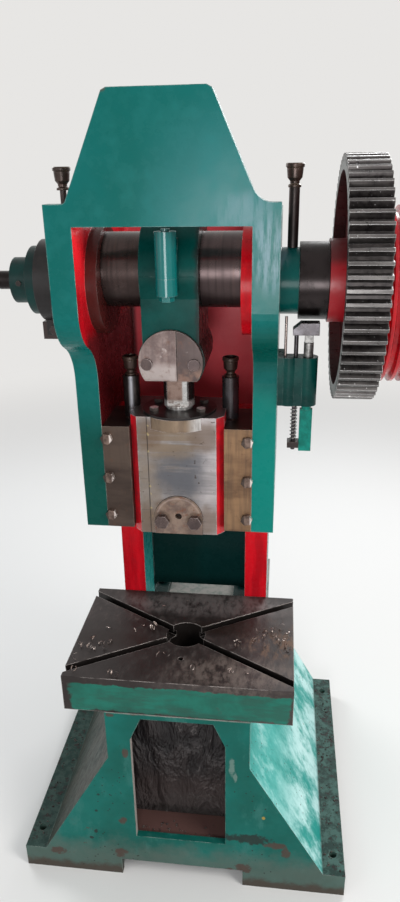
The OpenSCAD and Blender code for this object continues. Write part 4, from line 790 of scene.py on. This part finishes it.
def tool_plate_stains(s):
    """The plate on the slide's foot: painted shade round its bolts, a pink rim of painted highlight in a dark
    joint, rust.
    """
    foot_plate = s.step(s.z, 1.10, 1.00)
    arch = s.mul(foot_plate, s.step(s.z, 0.918, 0.926))
    from_middle = s.length(s.x, s.minus(s.z, TOOL_CLAMP_Z))
    # Painted highlight: a pink rim inside the arch's dark joint
    s.lay((0.420, 0.330, 0.310), s.band(from_middle, 0.043, 0.0465, 0.001), arch, 0.7)
    from_bolt = s.length(s.minus(s.abs(s.x), TOOL_BOLT_X), s.minus(s.z, TOOL_BOLT_Z))
    # Painted shade: dark rings round the bolts
    s.lay((0.024, 0.018, 0.016), s.step(from_bolt, 0.0215, 0.0185), arch, 0.85)
    s.lay((0.020, 0.015, 0.014), s.step(from_middle, 0.0462, 0.0474), arch, 0.9)
    mottle = s.step(s.noise(34, 5, 0.7, shift=21), 0.40, 0.60)
    warm = s.mix(mottle, (0.120, 0.078, 0.058), (0.260, 0.180, 0.130))
    s.lay(warm, foot_plate, 0.65)
    s.lay((0.150, 0.052, 0.026), foot_plate, s.step(s.noise(75, 5, 0.75, shift=25), 0.55, 0.64), 0.75)


def steel_clamp():
    """Rusty plates that clamp the ball screw and the tool's shank."""
    s = Shader("clamp_steel", metallic=0.5)
    edge = s.edges(0.0015)
    stain = s.noise(24, 5, 0.7, shift=4)
    s.colour = s.mix(s.step(stain, 0.36, 0.62), (0.105, 0.070, 0.064), (0.200, 0.150, 0.138))
    rod_plate_stains(s, stain)
    s.lay((0.110, 0.050, 0.032), s.step(s.noise(60, 5, 0.75, shift=9), 0.54, 0.68), 0.55)
    tool_plate_stains(s)
    pale = s.mul(s.step(s.noise(36, 3, 0.6, shift=13), 0.62, 0.68), s.step(s.z, 1.20, 1.22))
    s.lay((0.400, 0.350, 0.330), pale, 0.5)
    s.wear_and_highlight(edge, (0.55, 0.50, 0.46), 0.5, lo=0.38, hi=0.60)
    s.bump(stain, 0.20, 0.001)
    return s.finish(s.grey(s.step(stain, 0.3, 0.7), 0.50, 0.36))


def iron_gear():
    """Oily cast iron teeth with a painted highlight on their tips, painted glints, and a dark red wheel
    inside the rim.
    """
    s = Shader("gear_iron")
    edge = s.edges(0.0012)
    radius = s.radial(SLIDE_Y, CRANK_Z)
    fine = s.noise(90, 4, 0.7, shift=3)
    smear = s.noise(60, 3, 0.6, stretch=(0.12, 1, 1), shift=5)
    s.colour = s.mix(s.step(fine, 0.34, 0.70), (0.026, 0.022, 0.022), (0.060, 0.052, 0.050))
    # Painted highlight: the tips are lighter
    tips = s.step(radius, GEAR_TIP_R - 7 * SKIN, GEAR_TIP_R - SKIN)
    s.lay((0.170, 0.158, 0.155), tips, s.grey(s.step(smear, 0.36, 0.62), 0.35, 0.8))
    flanks = s.step(radius, GEAR_ROOT_R + SKIN, GEAR_TIP_R - 14 * SKIN)
    s.lay((0.150, 0.138, 0.132), flanks, s.step(smear, 0.44, 0.66), 0.5)
    # Painted glints: scattered bright specks on the teeth
    sparkle = s.step(s.noise(190, 2, 0.5, shift=17), 0.70, 0.73)
    s.lay((0.70, 0.69, 0.68), s.step(radius, 0.206, 0.210), sparkle, 0.8)
    rim_face = s.mul(s.either(s.side("X", 1), s.side("X", -1)),
                     s.step(radius, GEAR_RIM_R - 2 * SKIN, GEAR_RIM_R + 2 * SKIN))
    s.lay(s.mix(s.step(fine, 0.4, 0.62), (0.018, 0.034, 0.032), (0.080, 0.100, 0.095)), rim_face, 0.8)
    wheel = s.step(radius, GEAR_RIM_R + SKIN, GEAR_RIM_R - SKIN)
    red = s.mix(s.step(s.noise(12, 4, 0.6), 0.36, 0.66), (0.110, 0.006, 0.008), (0.260, 0.008, 0.014))
    web = s.band(radius, GEAR_HUB_R + 2 * SKIN, GEAR_RIM_R + SKIN, 0.0004)
    red = s.mix(s.mul(web, 0.45), red, RED_SHADED)
    hub = s.step(radius, GEAR_HUB_R + 3 * SKIN, GEAR_HUB_R)
    red = s.mix(s.mul(hub, 0.8), red, (0.420, 0.010, 0.018))
    red = s.mix(s.mul(hub, s.step(s.z, CRANK_Z + 0.030, CRANK_Z + 0.050), 0.8), red, RED_SHADED)
    s.lay(red, wheel)
    # Painted glints: pale lines on the teeth's edges
    s.lay((0.80, 0.79, 0.78), edge, s.step(radius, 0.200, 0.212), s.step(smear, 0.32, 0.48), 0.85)
    s.bump(s.plus(fine, smear), 0.18, 0.001)
    return s.finish(s.grey(s.step(fine, 0.3, 0.7), 0.26, 0.42), s.grey(wheel, 0.7, 0.0))


def dark_sheet():
    """Crumpled dark sheet behind the stand's window."""
    s = Shader("dark_steel_sheet", metallic=0.3)
    fold = s.noise(10, 4, 0.6, stretch=(1.7, 0.6, 0.8), shift=4, bend=0.5)
    fine = s.noise(60, 4, 0.7, stretch=(1, 1, 0.4), shift=2)
    s.colour = s.mix(s.step(fold, 0.40, 0.62), (0.016, 0.013, 0.014), (0.045, 0.037, 0.037))
    s.lay((0.110, 0.080, 0.074), s.step(s.z, 0.24, 0.17), 0.5)
    crease = s.step(s.abs(s.minus(fold, 0.5)), 0.012, 0.003)
    # Painted glints along the creases
    s.lay((0.200, 0.180, 0.175), crease, s.step(fine, 0.46, 0.60), 0.45)
    s.bump(s.plus(s.mul(fold, 3.0), s.mul(fine, 0.3)), 0.9, 0.012)
    return s.finish(s.grey(fold, 0.52, 0.28))


materials = {
    "frame_paint": paint_frame(),
    "stand_paint": paint_stand(),
    "green_paint": paint_plain("green_paint", (0.001, 0.062, 0.052), (0.000, 0.030, 0.026), 0.28, coat=0.1),
    "brake_paint": paint_plain("brake_paint", (0.003, 0.036, 0.032), (0.006, 0.018, 0.017), 0.38, coat=0.1,
                               wear_and_highlight=(0.14, 0.12, 0.11), dirt=0.6),
    "red_paint": paint_plain("red_paint", RED, RED_DARK, 0.26, coat=0.3, wear_and_highlight=(0.55, 0.25, 0.22),
                             edge_tone_share=0.4, dirt=0.25),
    "dark_steel": turned_steel("dark_steel", (0.044, 0.030, 0.028), (0.020, 0.014, 0.013), 0.38,
                               metallic=0.55, rings=0.25, rust=0.3, axis=UPRIGHT),
    "crank_steel": steel_crank(),
    "gib_steel": steel_gib(),
    "bolster_steel": steel_bolster(),
    "slide_steel": steel_slide(),
    "clamp_steel": steel_clamp(),
    "bright_steel": turned_steel("bright_steel", (0.560, 0.470, 0.440), (0.340, 0.250, 0.225), 0.28,
                                 metallic=0.8, rings=0.2, rust=0.3, axis=(1, 1, 0.1),
                                 wear_and_highlight=(0.75, 0.72, 0.70), edge_tone_share=0.6),
    "spring_steel": turned_steel("spring_steel", (0.420, 0.410, 0.400), (0.220, 0.210, 0.200), 0.32,
                                 metallic=0.85, rings=0.1, rust=0.1),
    "bronze": turned_steel("bronze", (0.430, 0.270, 0.120), (0.230, 0.130, 0.055), 0.34, metallic=0.85,
                           rings=0.3, rust=0.1),
    "lining": turned_steel("lining", (0.150, 0.110, 0.080), (0.080, 0.055, 0.040), 0.80, metallic=0.0,
                           rings=0.4, rust=0.1),
    "gear_iron": iron_gear(),
}

# Materials of single nodes, where a slot's material is too plain
rod_paint = paint_rod()
# The bolts' white edges: partly wear, partly painted highlight
tool_bolt_steel = turned_steel("tool_bolt_steel", (0.120, 0.085, 0.078), (0.050, 0.036, 0.036), 0.28,
                               metallic=0.7, rings=0.2, rust=0.3, axis=UPRIGHT,
                               wear_and_highlight=(0.80, 0.70, 0.68), edge_tone_share=0.8)
post_steel = turned_steel("post_steel", (0.105, 0.098, 0.108), (0.050, 0.044, 0.046), 0.22, metallic=0.8,
                          rings=0.15, rust=0.15, axis=UPRIGHT)
chip_steel = turned_steel("chip_steel", (0.620, 0.540, 0.500), (0.170, 0.110, 0.085), 0.30, metallic=0.8,
                          rings=0.2, rust=0.4, axis=(1, 1, 1), wear_and_highlight=(0.80, 0.76, 0.72))
black_steel = turned_steel("black_steel", (0.024, 0.021, 0.021), (0.012, 0.010, 0.010), 0.34, metallic=0.5,
                           rings=0.2, rust=0.1, axis=UPRIGHT, wear_and_highlight=(0.20, 0.18, 0.17))
cup_steel = turned_steel("cup_steel", (0.070, 0.042, 0.034), (0.030, 0.018, 0.014), 0.30, metallic=0.5,
                         rings=0.2, rust=0.25, axis=(0.2, 0.2, 1), wear_and_highlight=(0.26, 0.19, 0.12), edge_tone_share=0.6)
own_looks = {
    "window_guard": dark_sheet(),
    "gib_bolts": steel_gib_bolts(),
    "ball_screw": steel_screw(),
    "flange_bolts": steel_flange_bolts(),
    "tool_clamp_bolts": tool_bolt_steel,
    "clamp_bolts": tool_bolt_steel,
    "trip_wedge": post_steel,
    "oil_post_left": steel_left_post(),
    "oil_post_right": post_steel,
    "gib_oil_cups": cup_steel,
    "bearing_oil_cups": cup_steel,
    "ball_flange": black_steel,
    "brake_band": black_steel,
    "rod_body": rod_paint,
    "rod_cap": rod_paint,
    "rod_bolts": rod_paint,
    "trip_bar": paint_trip_bar(),
}


def dress(name, material):
    """Gives a CAD node its material."""
    node = nodes[name]
    if not node.material_slots:
        node.data.materials.append(material)
    for place in node.material_slots:
        place.material = material


for row in frame["record"]["subparts"]:
    dress(row["node"], own_looks.get(row["node"], materials[row["material_slot"]]))

# ---- chips and dirt


def new_piece(name, verts, faces, material, body):
    """A mesh of its own, placed in the part's metres, that rides on a body."""
    mesh = bpy.data.meshes.new(name)
    mesh.from_pydata(verts, [], faces)
    mesh.validate()
    mesh.update()
    mesh.materials.append(material)
    piece = bpy.data.objects.new(name, mesh)
    scene.collection.objects.link(piece)
    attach(piece, body)
    return piece


def curl(rng, at, radius, turns, width, rise):
    """One curled chip of steel, a thin ribbon on a short helix that narrows to its end."""
    steps = max(6, int(turns * 12))
    heading = rng.uniform(0, math.tau)
    tip = Matrix.Rotation(rng.uniform(0.9, 1.9), 3, "X") @ Matrix.Rotation(rng.uniform(0, math.tau), 3, "Z")
    spin = Matrix.Rotation(heading, 3, "Z") @ tip
    verts = []
    for i in range(steps + 1):
        t = i / steps
        a = t * turns * math.tau
        r = radius * (1 - 0.35 * t)
        middle = Vector((r * math.cos(a), r * math.sin(a), rise * t))
        verts += [spin @ (middle + Vector((0, 0, side * width))) for side in (-0.5, 0.5)]
    low = min(v.z for v in verts)
    verts = [v + Vector((at[0], at[1], at[2] - low)) for v in verts]
    faces = [(2 * i, 2 * i + 1, 2 * i + 3, 2 * i + 2) for i in range(steps)]
    return verts, faces


# Heaps of chips on the bolster: middle, spread and number
CHIP_HEAPS = [
    ((-0.185, -0.225), (0.045, 0.030), 17),
    ((-0.120, -0.150), (0.060, 0.040), 7),
    ((0.185, -0.165), (0.050, 0.040), 19),
    ((0.115, -0.190), (0.030, 0.020), 5),
    ((-0.030, -0.255), (0.060, 0.030), 3),
    ((-0.130, -0.318), (0.080, 0.008), 3),
    ((0.120, -0.290), (0.100, 0.020), 4),
    ((0.030, -0.060), (0.150, 0.030), 2),
]
CHIP_REACH_X = 0.235  # chips lie this far from the bolster's middle at most
CHIP_REACH_Y = (-0.326, -0.010)
LIFT = 0.0002  # chips and crumbs lie this far above a face
HOLE_CLEAR = 0.051  # no chip lies this near the knock-out hole's middle
SLOT_CLEAR = 0.013  # nor this near a T-slot's middle
SLOT_END_Y = 0.145  # where the slots meet the plate's sides, from the slide's axis


def over_slot(x, y):
    """Whether a place on the bolster is over a T-slot or the knock-out hole."""
    dy = y - SLIDE_Y
    if math.hypot(x, dy) < HOLE_CLEAR:
        return True
    slope = math.atan2(SLOT_END_Y, PLATE_HIGH.x)
    return any(abs(-x * math.sin(a) + dy * math.cos(a)) < SLOT_CLEAR for a in (slope, -slope))


def scatter_chips():
    """Curled chips on the bolster, in the heaps that the photo shows."""
    rng = random.Random(7)
    verts, faces = [], []
    for (cx, cy), (sx, sy), count in CHIP_HEAPS:
        for _ in range(count):
            x = min(CHIP_REACH_X, max(-CHIP_REACH_X, rng.gauss(cx, sx * 0.6)))
            y = min(CHIP_REACH_Y[1], max(CHIP_REACH_Y[0], rng.gauss(cy, sy * 0.6)))
            if over_slot(x, y):
                continue
            at = (x, y, PLATE_HIGH.z + LIFT)
            v, f = curl(rng, at, radius=rng.uniform(0.0025, 0.008), turns=rng.uniform(0.3, 1.5),
                        width=rng.uniform(0.001, 0.0026), rise=rng.uniform(0, 0.014))
            faces += [tuple(i + len(verts) for i in face) for face in f]
            verts += v
    new_piece("bolster_chips", verts, faces, chip_steel, "frame_body").data.shade_smooth()


# Where crumbs of dirt lie: X and Y from and to, the height, the number
CRUMB_AREAS = [
    ((0.338, 0.384), (-0.325, 0.325), FLANGE_TOP + LIFT, 90),
    ((-0.384, -0.338), (-0.325, 0.325), FLANGE_TOP + LIFT, 70),
    ((-0.100, 0.100), (-0.320, -0.280), SHELF_TOP + LIFT, 26),
    ((-0.085, 0.085), (0.010, 0.110), STAND_TOP + LIFT, 20),
]


def scatter_crumbs():
    """Crumbs of dirt on the foot flanges, the shelf and the deck, each a low pyramid."""
    rng = random.Random(11)
    verts, faces = [], []
    for (x0, x1), (y0, y1), z, count in CRUMB_AREAS:
        for _ in range(count):
            r = rng.uniform(0.0012, 0.004)
            c = Vector((rng.uniform(x0, x1), rng.uniform(y0, y1), z))
            base = len(verts)
            for dx, dy, dz in ((1, 0, 0), (0, 1, 0), (-1, 0, 0), (0, -1, 0), (0, 0, 1)):
                k = rng.uniform(0.6, 1.3)
                verts.append(c + Vector((dx * r * k, dy * r * k, dz * r * k * 0.8)))
            faces += [(base + a, base + (a + 1) % 4, base + 4) for a in range(4)]
            faces.append((base + 3, base + 2, base + 1, base))
    new_piece("dirt_crumbs", verts, faces, materials["dark_steel"], "frame_body")


scatter_chips()
scatter_crumbs()

# ---- studio

PALE = (0.80, 0.79, 0.775)
SKY = (0.72, 0.74, 0.77)
SKY_STRENGTH = 0.50
FLOOR_RINGS = (1.0, 3.0, 8.0, 60.0)
FLOOR_SIDES = 48
FLOOR_FADE = (1.6, 4.5)  # from where to where the lit floor turns into the plain backdrop

# Area lamps: place, aim, size, watts and tint
LAMPS = {
    "key": ((2.3, -1.6, 2.7), (0.0, -0.1, 0.9), 1.4, 60, (1.0, 0.985, 0.96)),
    "fill": ((-2.2, -2.6, 2.0), (0.0, -0.1, 0.9), 2.2, 16, (0.94, 0.97, 1.0)),
    "front": ((0.1, -2.3, 1.25), (0.0, 0.1, 1.25), 0.8, 18, (0.98, 0.99, 1.0)),
    "rear": ((1.2, 2.4, 2.6), (0.0, 0.0, 1.1), 1.6, 55, (0.97, 0.99, 1.0)),
    "rear_left": ((-2.2, 1.6, 2.4), (0.0, 0.0, 1.0), 1.6, 35, (0.97, 0.99, 1.0)),
}


def make_world():
    """Soft grey light, and a plain pale backdrop for the camera, reflections and glass."""
    world = bpy.data.worlds.new("studio")
    scene.world = world
    world.use_nodes = True
    tree = world.node_tree
    back = tree.nodes["Background"]
    back.inputs["Color"].default_value = (*SKY, 1)
    back.inputs["Strength"].default_value = SKY_STRENGTH
    shown = tree.nodes.new("ShaderNodeBackground")
    shown.inputs["Color"].default_value = (*PALE, 1)
    shown.inputs["Strength"].default_value = 1.0
    path = tree.nodes.new("ShaderNodeLightPath")
    seen = path.outputs["Is Camera Ray"]
    for ray in ("Is Glossy Ray", "Is Transmission Ray"):
        either = tree.nodes.new("ShaderNodeMath")
        either.operation = "MAXIMUM"
        tree.links.new(seen, either.inputs[0])
        tree.links.new(path.outputs[ray], either.inputs[1])
        seen = either.outputs[0]
    mix = tree.nodes.new("ShaderNodeMixShader")
    tree.links.new(seen, mix.inputs[0])
    tree.links.new(back.outputs[0], mix.inputs[1])
    tree.links.new(shown.outputs[0], mix.inputs[2])
    tree.links.new(mix.outputs[0], tree.nodes["World Output"].inputs["Surface"])


def make_floor():
    """Round pale floor that glows like the backdrop further out, so that no horizon shows."""
    turns = [math.tau * i / FLOOR_SIDES for i in range(FLOOR_SIDES)]
    pairs = [(i, (i + 1) % FLOOR_SIDES) for i in range(FLOOR_SIDES)]
    verts = [(0, 0, 0)] + [(r * math.cos(a), r * math.sin(a), 0) for r in FLOOR_RINGS for a in turns]
    faces = [(0, 1 + i, 1 + j) for i, j in pairs]
    for k in range(1, len(FLOOR_RINGS)):
        b = 1 + k * FLOOR_SIDES
        a = b - FLOOR_SIDES
        faces += [(a + i, b + i, b + j, a + j) for i, j in pairs]
    mesh = bpy.data.meshes.new("floor")
    mesh.from_pydata(verts, [], faces)
    s = Shader("floor", roughness=0.8)
    s.bsdf.inputs["Base Color"].default_value = (*PALE, 1)
    far = s.step(s.length(s.x, s.y), *FLOOR_FADE)
    glow = s.add("ShaderNodeEmission")
    glow.inputs["Color"].default_value = (*PALE, 1)
    blend = s.add("ShaderNodeMixShader")
    s.put(far, blend.inputs[0])
    s.put(s.bsdf.outputs[0], blend.inputs[1])
    s.put(glow.outputs[0], blend.inputs[2])
    s.put(blend.outputs[0], s.tree.nodes["Material Output"].inputs["Surface"])
    mesh.materials.append(s.mat)
    floor = bpy.data.objects.new("floor", mesh)
    scene.collection.objects.link(floor)


def make_lamps():
    """Soft lamps round the press."""
    for name, (at, aim, size, watts, tint) in LAMPS.items():
        data = bpy.data.lights.new(name, "AREA")
        data.shape = "DISK"
        data.size = size
        data.energy = watts
        data.color = tint
        lamp = bpy.data.objects.new(name, data)
        lamp.location = at
        lamp.rotation_euler = (Vector(aim) - Vector(at)).to_track_quat("-Z", "Y").to_euler()
        scene.collection.objects.link(lamp)


make_world()
make_floor()
make_lamps()
scene.view_settings.view_transform = "Standard"
